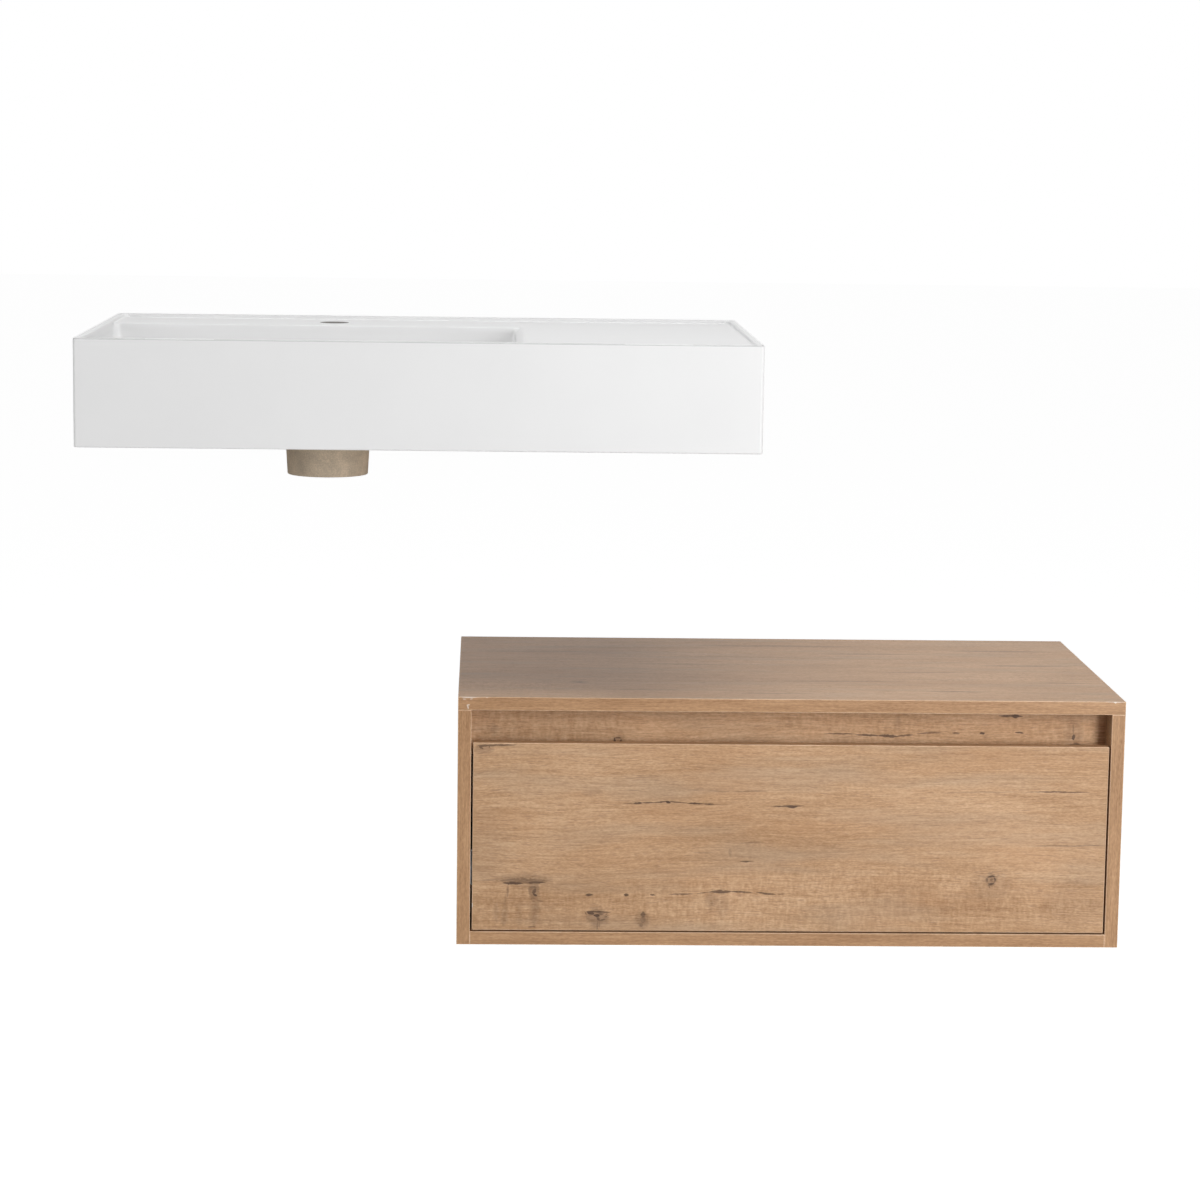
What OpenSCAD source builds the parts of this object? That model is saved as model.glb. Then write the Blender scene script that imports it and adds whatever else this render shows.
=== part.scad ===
// Wall-hung bathroom vanity set: a long washbasin with a tray beside its bowl, hung above and to the
// left of a one-drawer cabinet. Both hang on the same wall, which is the plane y = 0. The front faces
// -Y, +X runs to the right and +Z up. The origin is the centre of the cabinet's wall plate holes.

/* [Layout] */
// Basin's left end, measured to the left of the cabinet's left end
basin_left = 447; // [300:1:600]
// Basin's rim above the cabinet's top
basin_rise = 420; // [300:5:600]
// Cabinet's top above the centre of the wall plate holes
top_z = 60; // [58:1:64]

/* [Basin] */
// Width of the basin
basin_w = 800; // [740:10:1000]
// Depth of the basin, from the wall to its front
basin_d = 480; // [440:10:520]
// Height of the basin's apron, from its rim to its lower edge
basin_h = 127; // [122:1:160]
// Radius of the basin's upright corners
basin_corner_r = 4; // [2:1:7]
// Width of the raised rim
rim_w = 8; // [7:1:12]
// Drop from the rim to the tap deck and the tray
rim_drop = 5; // [3:1:8]
// Thickness of the casting
cast_t = 12; // [10:1:14]
// Depth of the tap deck, from the wall to the bowl
deck_d = 124; // [110:1:150]
// Depth of the bowl below the rim
bowl_depth = 98; // [80:1:104]
// Radius round the bowl's floor and its upright corners
bowl_r = 12; // [8:1:20]
// Right end of the bowl, measured from the basin's left end
bowl_end = 513; // [440:1:560]
// Radius of the rolled edge between the bowl and the tray
roll_r = 9.5; // [6:0.5:14]
// Tap hole and drain, measured from the basin's left end
drain_x = 282.6; // [200:0.1:340]
// Tap hole, measured from the wall
tap_y = 65; // [50:1:75]
// Diameter of the tap hole
tap_hole_d = 35; // [30:1:38]
// Drain, measured from the wall
drain_y = 240; // [210:1:300]
// Diameter of the drain hole
drain_hole_d = 45; // [40:1:50]
// Diameter of the dished seat round the drain hole
drain_seat_d = 66; // [60:1:72]
// Depth of the dished seat
drain_seat_depth = 3; // [2:0.5:4]
// Diameter of the drain boss where it leaves the apron
boss_top_d = 104.7; // [90:0.1:120]
// Diameter of the drain boss at its lower end
boss_low_d = 99; // [84:1:110]
// Drain boss below the apron
boss_drop = 53; // [30:1:70]
// Distance between the two wall bolt holes
basin_bolt_spacing = 280; // [200:10:400]
// Diameter of the wall bolt holes
basin_bolt_d = 18; // [14:1:22]
// Wall bolt holes below the rim
basin_bolt_drop = 75; // [50:1:90]

/* [Cabinet] */
// Width of the cabinet
cab_w = 794; // [594:10:994]
// Depth of the cabinet
cab_d = 460; // [460:5:520]
// Height of the cabinet
cab_h = 300; // [300:5:400]
// Thickness of the boards
board_t = 16; // [16:1:19]
// Thickness of the edge bands
band_t = 1; // [0.5:0.5:2]
// Height of the open slot above the drawer front
slot_h = 39; // [30:1:45]
// Face of the finger pull rail behind the cabinet's front
rail_setback = 40; // [40:1:60]
// Height of the finger pull rail
rail_h = 60; // [50:1:70]
// Room between the wall and the back panel
service_gap = 20; // [18:1:24]
// Thickness of the back panel
back_t = 6; // [4:1:8]
// Depth of the grooves that hold the back panel and the drawer's bottom
groove = 5; // [4:1:6]

/* [Drawer] */
// Gap at each side of the drawer front
front_gap = 2.3; // [2:0.1:3]
// Gap below the drawer front
front_gap_low = 2; // [1.5:0.5:3]
// Height of the drawer's sides
side_h = 160; // [150:5:165]
// Thickness of the drawer's sides, inner front and back
side_t = 12; // [12:1:15]
// Thickness of the drawer's bottom
drawer_bottom_t = 8; // [6:1:10]
// Drawer's sides above the cabinet's floor
side_lift = 16; // [12:1:20]

/* [Runners] */
// Length of each ball-bearing runner
runner_l = 400; // [400:1:400]
// Room for a runner between the cabinet's side and the drawer
runner_t = 12.7; // [12.7:0.1:13]
// Height of the outer runner member
runner_h = 45; // [45:1:46]
// Thickness of the runners' steel
runner_steel = 1.2; // [1:0.1:1.3]
// Diameter of the balls
ball_d = 3.3; // [3:0.1:3.4]
// Balls in each row of a cage
balls = 6; // [4:1:8]

/* [Wall fixing] */
// Distance between the holes of the left and the right wall plate
plate_spacing = 708; // [508:1:708]
// Distance between a wall plate's upper and lower hole
plate_hole_rise = 32; // [32:1:34]
// Diameter of the wall plates' holes
plate_hole_d = 6.5; // [5:0.5:8]
// Width of a wall plate
plate_w = 46; // [40:1:46]

/* [Hidden] */
$fn = 48;

oak = [0.72, 0.58, 0.46];
oak_band = [0.70, 0.54, 0.40];
cast_white = [0.93, 0.93, 0.93];
zinc = [0.74, 0.75, 0.76];
yellow_zinc = [0.80, 0.70, 0.42];
beech = [0.83, 0.69, 0.50];
grey_plastic = [0.45, 0.46, 0.48];

left = -1;
right = 1;
sides = [left, right];
// Room left round a dowel, a cam or a screw in its hole
play = 0.05;

// Cabinet's planes, written for its right half
half_w = cab_w / 2;
inner_x = half_w - board_t;
under_top_z = top_z - board_t;
base_z = top_z - cab_h;
floor_z = base_z + board_t;
front_y = -cab_d;
core_y = front_y + band_t;
rail_y = front_y + rail_setback;
rail_low_z = under_top_z - rail_h;
back_y = -service_gap - back_t;

// Drawer's planes
front_half_w = inner_x - front_gap;
front_top_z = under_top_z - slot_h;
front_low_z = floor_z + front_gap_low;
front_back_y = front_y + board_t;
drawer_x = inner_x - runner_t;
drawer_inner_x = drawer_x - side_t;
drawer_low_z = floor_z + side_lift;
drawer_top_z = drawer_low_z + side_h;
drawer_back_y = front_back_y + runner_l;
drawer_floor_lift = 12;
drawer_floor_z = drawer_low_z + drawer_floor_lift;

// Basin's planes
rim_z = top_z + basin_rise;
basin_x = -half_w - basin_left;

// A box between two opposite corners
module block(lo, hi) {
    translate(lo)
        cube(hi - lo);
}

// Puts a shape that is written for the right half on either side
module on_side(side) {
    if (side < 0)
        mirror([1, 0, 0])
            children();
    else
        children();
}

// A cylinder that lies along Y, from one y to another
module rod_y(x, z, y0, y1, d) {
    translate([x, y1, z])
        rotate([90, 0, 0])
            cylinder(d = d, h = y1 - y0);
}

// A cylinder that lies along X, from one x to another
module rod_x(y, z, x0, x1, d) {
    translate([x0, y, z])
        rotate([0, 90, 0])
            cylinder(d = d, h = x1 - x0);
}

// ---- Basin ----

// A box with rounded upright corners, from the basin's left, front, low corner
module upright_box(size, r) {
    for (x = [r, size.x - r], y = [r, size.y - r])
        translate([x, y, 0])
            cylinder(r = r, h = size.z);
    translate([r, 0, 0])
        cube([size.x - 2 * r, size.y, size.z]);
    translate([0, r, 0])
        cube([size.x, size.y - 2 * r, size.z]);
}

// A tub with rounded upright corners and a rounded edge all round its floor
module tub(size, r) {
    translate([0, 0, r])
        upright_box([size.x, size.y, size.z - r], r);
    translate([r, r, 0])
        cube([size.x - 2 * r, size.y - 2 * r, size.z]);
    for (y = [r, size.y - r])
        translate([r, y, r])
            rotate([0, 90, 0])
                cylinder(r = r, h = size.x - 2 * r);
    for (x = [r, size.x - r])
        translate([x, size.y - r, r])
            rotate([90, 0, 0])
                cylinder(r = r, h = size.y - 2 * r);
    for (x = [r, size.x - r], y = [r, size.y - r])
        translate([x, y, r])
            sphere(r = r);
}

// Everything below is measured from the basin's left end, the wall and the rim
module in_basin() {
    translate([basin_x, 0, rim_z])
        children();
}

module bowl_space(grow) {
    bowl_w = bowl_end - rim_w;
    bowl_d = basin_d - rim_w - deck_d;
    translate([rim_w - grow, -basin_d + rim_w - grow, -bowl_depth - grow])
        tub([bowl_w + 2 * grow, bowl_d + 2 * grow, bowl_depth + grow + 1], bowl_r + grow);
}

// The cut that rolls the bowl's right edge over into the tray, from the front rim to the tap deck
module roll_cut() {
    front = -basin_d + rim_w;
    difference() {
        block([bowl_end - bowl_r, front, -rim_drop - roll_r], [bowl_end + roll_r, -deck_d, 1]);
        rod_y(bowl_end + roll_r, -rim_drop - roll_r, front - 1, -deck_d + 1, 2 * roll_r);
    }
}

// The open underside, all round the bowl and below the tray
module underside_space() {
    difference() {
        block([cast_t, -basin_d + cast_t, -basin_h - 1], [basin_w - cast_t, -cast_t, -rim_drop - cast_t]);
        bowl_space(cast_t);
        translate([drain_x, -drain_y, -basin_h - 2])
            cylinder(d = boss_top_d, h = basin_h);
    }
}

module basin_shell() {
    tray_w = basin_w - 2 * rim_w;
    tray_d = basin_d - 2 * rim_w;
    color(cast_white)
        in_basin()
            difference() {
                union() {
                    difference() {
                        translate([0, -basin_d, -basin_h])
                            upright_box([basin_w, basin_d, basin_h], basin_corner_r);
                        underside_space();
                    }
                    translate([drain_x, -drain_y, -basin_h - boss_drop])
                        cylinder(d1 = boss_low_d, d2 = boss_top_d, h = boss_drop);
                }
                translate([rim_w, -basin_d + rim_w, -rim_drop])
                    cube([tray_w, tray_d, rim_drop + 1]);
                bowl_space(0);
                roll_cut();
                translate([drain_x, -tap_y, -rim_drop - cast_t - 1])
                    cylinder(d = tap_hole_d, h = cast_t + 2);
                translate([drain_x, -drain_y, -basin_h - boss_drop - 1])
                    cylinder(d = drain_hole_d, h = basin_h + boss_drop - bowl_depth + 2);
                translate([drain_x, -drain_y, -bowl_depth - drain_seat_depth])
                    cylinder(d = drain_seat_d, h = drain_seat_depth + 1);
                for (side = sides)
                    rod_y(basin_w / 2 + side * basin_bolt_spacing / 2, -basin_bolt_drop,
                          -cast_t - 1, 1, basin_bolt_d);
            }
}

// ---- Dowels and cam fittings of the cabinet ----

dowel_d = 8;
dowel_in_face = 11;
dowel_in_edge = 18;
cam_d = 15;
cam_depth = 12.5;
cam_reach = 34;
bolt_shank_d = 7;
bolt_thread_d = 5;
bolt_thread_l = 11;
bolt_head_l = 3.5;
cam_ys = [-110, -350];
dowel_ys = [-50, -425];
rail_dowel_zs = [0, 30];

// A joint between a board's face and another's end is [place, turn] on the right half. Its own +Z runs
// into the face, and its own -X points at the inside of the cabinet
function top_joint(y) = [[half_w - board_t / 2, y, under_top_z], [0, 0, 0]];
function floor_joint(y) = [[inner_x, y, base_z + board_t / 2], [0, 90, 0]];
function rail_joint(z) = [[inner_x, rail_y + board_t / 2, z], [0, 90, 0]];
cam_joints = [for (y = cam_ys) each [top_joint(y), floor_joint(y)]];
dowel_joints = concat(
    [for (y = dowel_ys) each [top_joint(y), floor_joint(y)]],
    [for (z = rail_dowel_zs) rail_joint(z)]
);

module at_joints(joints) {
    for (side = sides, joint = joints)
        on_side(side)
            translate(joint[0])
                rotate(joint[1])
                    children();
}

module dowel(d, in_face, in_edge, room) {
    translate([0, 0, -in_edge - room])
        cylinder(d = d + 2 * room, h = in_face + in_edge + 2 * room);
}

module cabinet_dowels() {
    color(beech)
        at_joints(dowel_joints)
            dowel(dowel_d, dowel_in_face, dowel_in_edge, 0);
}

module cam_body(d, depth) {
    translate([-board_t / 2, 0, -cam_reach])
        rotate([0, 90, 0])
            cylinder(d = d, h = depth);
}

module cam_locks() {
    slot_w = 1.6;
    slot_l = 9;
    slot_depth = 2;
    bolt_path_d = bolt_shank_d + 0.6;
    color(zinc)
        at_joints(cam_joints)
            difference() {
                cam_body(cam_d, cam_depth);
                translate([0, 0, -cam_reach - bolt_head_l])
                    cylinder(d = bolt_path_d, h = cam_d);
                for (turn = [0, 90])
                    translate([-board_t / 2, 0, -cam_reach])
                        rotate([turn, 0, 0])
                            cube([2 * slot_depth, slot_w, slot_l], center = true);
            }
}

module cam_bolts() {
    neck_d = 4;
    neck_l = 4;
    color(zinc)
        at_joints(cam_joints) {
            cylinder(d = bolt_thread_d, h = bolt_thread_l);
            translate([0, 0, -cam_reach + neck_l])
                cylinder(d = bolt_shank_d, h = cam_reach - neck_l);
            translate([0, 0, -cam_reach])
                cylinder(d = neck_d, h = neck_l);
            translate([0, 0, -cam_reach - bolt_head_l + play])
                cylinder(d = bolt_shank_d, h = bolt_head_l - play);
        }
}

// Every hole that the dowels and cam fittings need, cut from each board that they reach
module fitting_holes() {
    at_joints(dowel_joints)
        dowel(dowel_d, dowel_in_face, dowel_in_edge, play);
    at_joints(cam_joints) {
        cylinder(d = bolt_thread_d + 2 * play, h = bolt_thread_l + play);
        translate([0, 0, -cam_reach - bolt_head_l])
            cylinder(d = bolt_shank_d + 1, h = cam_reach + bolt_head_l);
        cam_body(cam_d + 2 * play, cam_depth + play);
    }
}

// ---- Cabinet's boards ----

module back_panel_box() {
    block([-inner_x - groove, back_y, floor_z - groove],
          [inner_x + groove, -service_gap, under_top_z + groove]);
}

module cabinet_top_panel() {
    color(oak)
        difference() {
            block([-half_w + band_t, core_y, under_top_z], [half_w - band_t, 0, top_z]);
            back_panel_box();
            fitting_holes();
        }
}

module cabinet_top_bands() {
    color(oak_band) {
        block([-half_w, front_y, under_top_z], [half_w, core_y, top_z]);
        for (side = sides)
            on_side(side)
                block([half_w - band_t, core_y, under_top_z], [half_w, 0, top_z]);
    }
}

module cabinet_side(side) {
    color(oak)
        difference() {
            on_side(side)
                block([inner_x, core_y, base_z + band_t], [half_w, 0, under_top_z]);
            back_panel_box();
            fitting_holes();
            hanger_screw_set(side, play);
            runner_cabinet_screw_set(side, play);
        }
}

module cabinet_side_bands(side) {
    color(oak_band)
        on_side(side) {
            block([inner_x, front_y, base_z], [half_w, core_y, under_top_z]);
            block([inner_x, core_y, base_z], [half_w, 0, base_z + band_t]);
        }
}

module cabinet_bottom_panel() {
    color(oak)
        difference() {
            block([-inner_x, core_y, base_z], [inner_x, 0, floor_z]);
            back_panel_box();
            fitting_holes();
        }
}

module cabinet_bottom_band() {
    color(oak_band)
        block([-inner_x, front_y, base_z], [inner_x, core_y, floor_z]);
}

module cabinet_back_panel() {
    color(oak)
        difference() {
            back_panel_box();
            for (side = sides)
                on_side(side)
                    block([hook_x - hook_w, back_y - 1, hook_z - hook_t],
                          [inner_x, -service_gap + 1, under_top_z]);
        }
}

module finger_pull_rail() {
    color(oak)
        difference() {
            block([-inner_x, rail_y, rail_low_z + band_t], [inner_x, rail_y + board_t, under_top_z]);
            fitting_holes();
        }
}

module finger_pull_rail_band() {
    color(oak_band)
        block([-inner_x, rail_y, rail_low_z], [inner_x, rail_y + board_t, rail_low_z + band_t]);
}

// ---- Hangers and wall plates ----

plate_t = 2.5;
plate_lip_off = 6;
plate_lip_z = 36;
plate_low_z = -26;
plate_step_z = 26;
hook_w = 10;
hook_t = 3;
hook_x = inner_x - 10;
hook_z = plate_lip_z;
hook_tip_y = -2;
hook_tip_l = 9;
carriage_l = 26;
carriage_h = 15;
housing_y = [back_y - 47, back_y - 1];
housing_z = [-16, 42];
housing_w = 18;
housing_floor_t = 2;
adjuster_d = 6;
adjuster_l = 24;
adjuster_zs = [6, 30];
hanger_screw_d = 4;
hanger_screw_depth = 11;
// Each fixing screw's [y, z]
hanger_screw_spots = [[-42, -8], [-62, -8]];

// A folded steel plate: its foot is screwed flat to the wall, and its lip stands off it for the hook
module wall_plate(side) {
    color(zinc)
        on_side(side)
            difference() {
                translate([plate_spacing / 2 - plate_w / 2, 0, 0])
                    union() {
                        block([0, -plate_t, plate_low_z], [plate_w, 0, plate_step_z]);
                        block([0, -plate_lip_off - plate_t, plate_step_z - plate_t],
                              [plate_w, 0, plate_step_z]);
                        block([0, -plate_lip_off - plate_t, plate_step_z - plate_t],
                              [plate_w, -plate_lip_off, plate_lip_z]);
                    }
                for (z = [-plate_hole_rise / 2, plate_hole_rise / 2])
                    rod_y(plate_spacing / 2, z, -plate_t - 1, 1, plate_hole_d);
            }
}

module hanger_screw_set(side, room) {
    on_side(side)
        for (spot = hanger_screw_spots)
            rod_x(spot[0], spot[1], inner_x - housing_floor_t, inner_x + hanger_screw_depth + room,
                  hanger_screw_d + 2 * room);
}

module hanger_housing(side) {
    wall = 1.5;
    slide_play = 0.5;
    slot_half_w = hook_w / 2 + slide_play;
    slot_low_z = hook_z + hook_t - carriage_h - 3;
    pocket_z = [-13, -3];
    pocket_inset = 5;
    color(grey_plastic)
        difference() {
            on_side(side)
                difference() {
                    block([inner_x - housing_w, housing_y[0], housing_z[0]],
                          [inner_x, housing_y[1], housing_z[1]]);
                    // Slot along which the hook's carriage slides
                    block([hook_x - slot_half_w, housing_y[0] + wall, slot_low_z],
                          [hook_x + slot_half_w, housing_y[1] + 1, hook_z + hook_t + slide_play]);
                    // Pocket for the heads of the two fixing screws
                    block([inner_x - housing_w - 1, housing_y[0] + pocket_inset, pocket_z[0]],
                          [inner_x - housing_floor_t, housing_y[1] - pocket_inset, pocket_z[1]]);
                    for (z = adjuster_zs)
                        rod_y(hook_x, z, housing_y[0] - 1, housing_y[0] + adjuster_l + 1,
                              adjuster_d + 2 * play);
                }
            hanger_screw_set(side, play);
        }
}

module hanger_hook(side) {
    far_y = housing_y[0] + 12;
    thread_l = 14;
    color(zinc)
        on_side(side)
            difference() {
                union() {
                    block([hook_x - hook_w / 2, far_y, hook_z],
                          [hook_x + hook_w / 2, hook_tip_y, hook_z + hook_t]);
                    block([hook_x - hook_w / 2, hook_tip_y - hook_t, hook_z - hook_tip_l],
                          [hook_x + hook_w / 2, hook_tip_y, hook_z + hook_t]);
                    block([hook_x - hook_w / 2, far_y, hook_z + hook_t - carriage_h],
                          [hook_x + hook_w / 2, far_y + carriage_l, hook_z + hook_t]);
                }
                rod_y(hook_x, adjuster_zs[1], far_y - 1, far_y + thread_l, adjuster_d + 2 * play);
            }
}

// The screws that move each hook up and in: one against the housing, one in the carriage
module hanger_adjusters() {
    head_y = housing_y[0] - 1.5;
    cross = [4.4, 3, 1.2];
    for (side = sides)
        color(yellow_zinc)
            on_side(side)
                for (z = adjuster_zs)
                    difference() {
                        rod_y(hook_x, z, head_y, housing_y[0] + adjuster_l, adjuster_d);
                        for (turn = [0, 90])
                            translate([hook_x, head_y, z])
                                rotate([0, turn, 0])
                                    cube(cross, center = true);
                    }
}

module hanger_screws() {
    head_d = 8;
    head_h = 2.2;
    head_x = inner_x - housing_floor_t;
    for (side = sides)
        color(zinc) {
            on_side(side)
                for (spot = hanger_screw_spots)
                    rod_x(spot[0], spot[1], head_x - head_h, head_x, head_d);
            hanger_screw_set(side, 0);
        }
}

// ---- Ball-bearing runners ----

// Across a runner, u is measured from the cabinet's side towards the drawer, and v up and down from
// the runner's middle. The members nest: outer on the cabinet, middle, and inner on the drawer
runner_lift = 58;
runner_z = drawer_low_z + runner_lift;
runner_front_gap = 2;
runner_front_y = front_back_y + runner_front_gap;
runner_back_y = runner_front_y + runner_l;
ball_room = ball_d + 0.2;
middle_v = runner_h / 2 - runner_steel - ball_room;
inner_v = middle_v - runner_steel - ball_room;
outer_u = [0, 11];
middle_u = [3.3, 11.7];
inner_u = [6.3, runner_t];
cage_t = 0.7;
outer_cage_u = [2.0, 9.6];
inner_cage_u = [5.0, 10.6];
cage_play = 2;
cage_l = runner_l / 2 - 2 * cage_play;
cage_front_y = runner_front_y + runner_l / 4 + cage_play;

// A box in a runner's own u and v, along the runner
module strip(u, v, y) {
    block([inner_x - u[1], y[0], runner_z + v[0]], [inner_x - u[0], y[1], runner_z + v[1]]);
}

// A channel of folded steel. Its web is at the low u where web_low is true, and else at the high u
module channel(u, v, t, y, web_low) {
    web_u = web_low ? [u[0], u[0] + t] : [u[1] - t, u[1]];
    strip(web_u, [-v, v], y);
    strip(u, [v - t, v], y);
    strip(u, [-v, -v + t], y);
}

runner_screw_d = 3.5;
runner_screw_head_d = 7;
runner_screw_head_h = 0.4;
cabinet_screw_ys = [runner_front_y + 37, runner_front_y + 165, runner_back_y - 20];
drawer_screw_ys = [runner_front_y + 21, runner_front_y + 181, runner_back_y - 52];
screw_depth_side = 11;
screw_depth_drawer = 8;

module runner_cabinet_screw_set(side, room) {
    on_side(side)
        for (y = cabinet_screw_ys)
            rod_x(y, runner_z, inner_x - runner_steel, inner_x + screw_depth_side + room,
                  runner_screw_d + 2 * room);
}

module runner_drawer_screw_set(side, room) {
    on_side(side)
        for (y = drawer_screw_ys)
            rod_x(y, runner_z, drawer_x - screw_depth_drawer - room, drawer_x + runner_steel,
                  runner_screw_d + 2 * room);
}

module runner_outer(side) {
    color(zinc)
        difference() {
            on_side(side)
                channel(outer_u, runner_h / 2, runner_steel, [runner_front_y, runner_back_y], true);
            runner_cabinet_screw_set(side, play);
        }
}

module runner_middle(side) {
    end_play = 2;
    color(zinc)
        on_side(side)
            channel(middle_u, middle_v, runner_steel,
                    [runner_front_y + end_play, runner_back_y - end_play], true);
}

module runner_inner(side) {
    color(zinc)
        difference() {
            on_side(side)
                channel(inner_u, inner_v, runner_steel, [runner_front_y, runner_back_y], false);
            runner_drawer_screw_set(side, play);
        }
}

module runner_cabinet_screws() {
    for (side = sides)
        color(zinc) {
            on_side(side)
                for (y = cabinet_screw_ys)
                    rod_x(y, runner_z, inner_x - runner_steel - runner_screw_head_h, inner_x - runner_steel,
                          runner_screw_head_d);
            runner_cabinet_screw_set(side, 0);
        }
}

module runner_drawer_screws() {
    for (side = sides)
        color(zinc) {
            on_side(side)
                for (y = drawer_screw_ys)
                    rod_x(y, runner_z, drawer_x + runner_steel, drawer_x + runner_steel + runner_screw_head_h,
                          runner_screw_head_d);
            runner_drawer_screw_set(side, 0);
        }
}

// Balls of one cage, or the holes they sit in: row is the rows' v and u how far they are from the side
module ball_rows(side, row, u, d) {
    pitch = cage_l / balls;
    on_side(side)
        for (v = [-row, row], i = [0 : balls - 1])
            translate([inner_x - u, cage_front_y + (i + 0.5) * pitch, runner_z + v])
                sphere(d = d);
}

outer_row = middle_v + ball_room / 2;
inner_row = inner_v + ball_room / 2;
outer_ball_u = 7;
inner_ball_u = 8.3;

module cage(side, u, row, ball_u) {
    color(grey_plastic)
        difference() {
            on_side(side)
                channel(u, row + cage_t / 2, cage_t, [cage_front_y, cage_front_y + cage_l], true);
            ball_rows(side, row, ball_u, ball_d + 2 * play);
        }
}

module outer_cage(side) {
    cage(side, outer_cage_u, outer_row, outer_ball_u);
}

module inner_cage(side) {
    cage(side, inner_cage_u, inner_row, inner_ball_u);
}

module outer_balls(side) {
    color(zinc)
        ball_rows(side, outer_row, outer_ball_u, ball_d);
}

module inner_balls(side) {
    color(zinc)
        ball_rows(side, inner_row, inner_ball_u, ball_d);
}

// ---- Drawer ----

drawer_dowel_d = 6;
drawer_dowel_in_face = 8;
drawer_dowel_in_edge = 20;
drawer_dowel_zs = [drawer_low_z + 50, drawer_low_z + 120];
front_screw_d = 4;
front_screw_l = 23;
front_screw_xs = [-270, -90, 90, 270];
front_screw_zs = [drawer_low_z + 50, drawer_low_z + 120];

function box_joint(y, z) = [[drawer_inner_x, y, z], [0, 90, 0]];
box_joints = [
    for (y = [front_back_y + side_t / 2, drawer_back_y - side_t / 2], z = drawer_dowel_zs) box_joint(y, z)
];

module drawer_dowel_set(room) {
    at_joints(box_joints)
        dowel(drawer_dowel_d, drawer_dowel_in_face, drawer_dowel_in_edge, room);
}

module drawer_bottom_box() {
    block([-drawer_inner_x - groove, front_back_y + side_t - groove, drawer_floor_z],
          [drawer_inner_x + groove, drawer_back_y - side_t + groove, drawer_floor_z + drawer_bottom_t]);
}

module front_screw_set(room) {
    head_y = front_back_y + side_t;
    for (x = front_screw_xs, z = front_screw_zs)
        rod_y(x, z, head_y - front_screw_l - room, head_y, front_screw_d + 2 * room);
}

module drawer_front() {
    color(oak)
        difference() {
            block([-front_half_w + band_t, front_y, front_low_z + band_t],
                  [front_half_w - band_t, front_back_y, front_top_z - band_t]);
            front_screw_set(play);
        }
}

module drawer_front_bands() {
    color(oak_band) {
        for (z = [front_low_z, front_top_z - band_t])
            block([-front_half_w, front_y, z], [front_half_w, front_back_y, z + band_t]);
        for (side = sides)
            on_side(side)
                block([front_half_w - band_t, front_y, front_low_z + band_t],
                      [front_half_w, front_back_y, front_top_z - band_t]);
    }
}

module drawer_cross_board(y) {
    color(oak)
        difference() {
            block([-drawer_inner_x, y, drawer_low_z], [drawer_inner_x, y + side_t, drawer_top_z]);
            drawer_bottom_box();
            drawer_dowel_set(play);
            front_screw_set(play);
        }
}

module drawer_inner_front() {
    drawer_cross_board(front_back_y);
}

module drawer_back() {
    drawer_cross_board(drawer_back_y - side_t);
}

module drawer_side(side) {
    color(oak)
        difference() {
            on_side(side)
                block([drawer_inner_x, front_back_y, drawer_low_z], [drawer_x, drawer_back_y, drawer_top_z]);
            drawer_bottom_box();
            drawer_dowel_set(play);
            runner_drawer_screw_set(side, play);
        }
}

module drawer_bottom() {
    color(oak)
        drawer_bottom_box();
}

module drawer_dowels() {
    color(beech)
        drawer_dowel_set(0);
}

module drawer_front_screws() {
    head_d = 8;
    head_h = 2.2;
    head_y = front_back_y + side_t;
    color(zinc) {
        for (x = front_screw_xs, z = front_screw_zs)
            rod_y(x, z, head_y, head_y + head_h, head_d);
        front_screw_set(0);
    }
}

basin_shell();
cabinet_top_panel();
cabinet_top_bands();
cabinet_side(left);  // cabinet_left_side
cabinet_side_bands(left);  // cabinet_left_bands
cabinet_side(right);  // cabinet_right_side
cabinet_side_bands(right);  // cabinet_right_bands
cabinet_bottom_panel();
cabinet_bottom_band();
cabinet_back_panel();
finger_pull_rail();
finger_pull_rail_band();
cabinet_dowels();
cam_locks();
cam_bolts();
wall_plate(left);  // left_wall_plate
wall_plate(right);  // right_wall_plate
hanger_housing(left);  // left_hanger_housing
hanger_housing(right);  // right_hanger_housing
hanger_hook(left);  // left_hanger_hook
hanger_hook(right);  // right_hanger_hook
hanger_adjusters();
hanger_screws();
runner_outer(left);  // left_runner_outer
runner_outer(right);  // right_runner_outer
runner_cabinet_screws();
runner_middle(left);  // left_runner_middle
runner_middle(right);  // right_runner_middle
outer_cage(left);  // left_outer_cage
outer_balls(left);  // left_outer_balls
outer_cage(right);  // right_outer_cage
outer_balls(right);  // right_outer_balls
inner_cage(left);  // left_inner_cage
inner_balls(left);  // left_inner_balls
inner_cage(right);  // right_inner_cage
inner_balls(right);  // right_inner_balls
runner_inner(left);  // left_runner_inner
runner_inner(right);  // right_runner_inner
runner_drawer_screws();
drawer_front();
drawer_front_bands();
drawer_inner_front();
drawer_side(left);  // drawer_left_side
drawer_side(right);  // drawer_right_side
drawer_back();
drawer_bottom();
drawer_dowels();
drawer_front_screws();
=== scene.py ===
"""Looks of a wall-hung bathroom set: a cast washbasin above and to the left of an oak-decor drawer cabinet.
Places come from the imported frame, in metres. Sizes written here are in millimetres."""

import math

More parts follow.
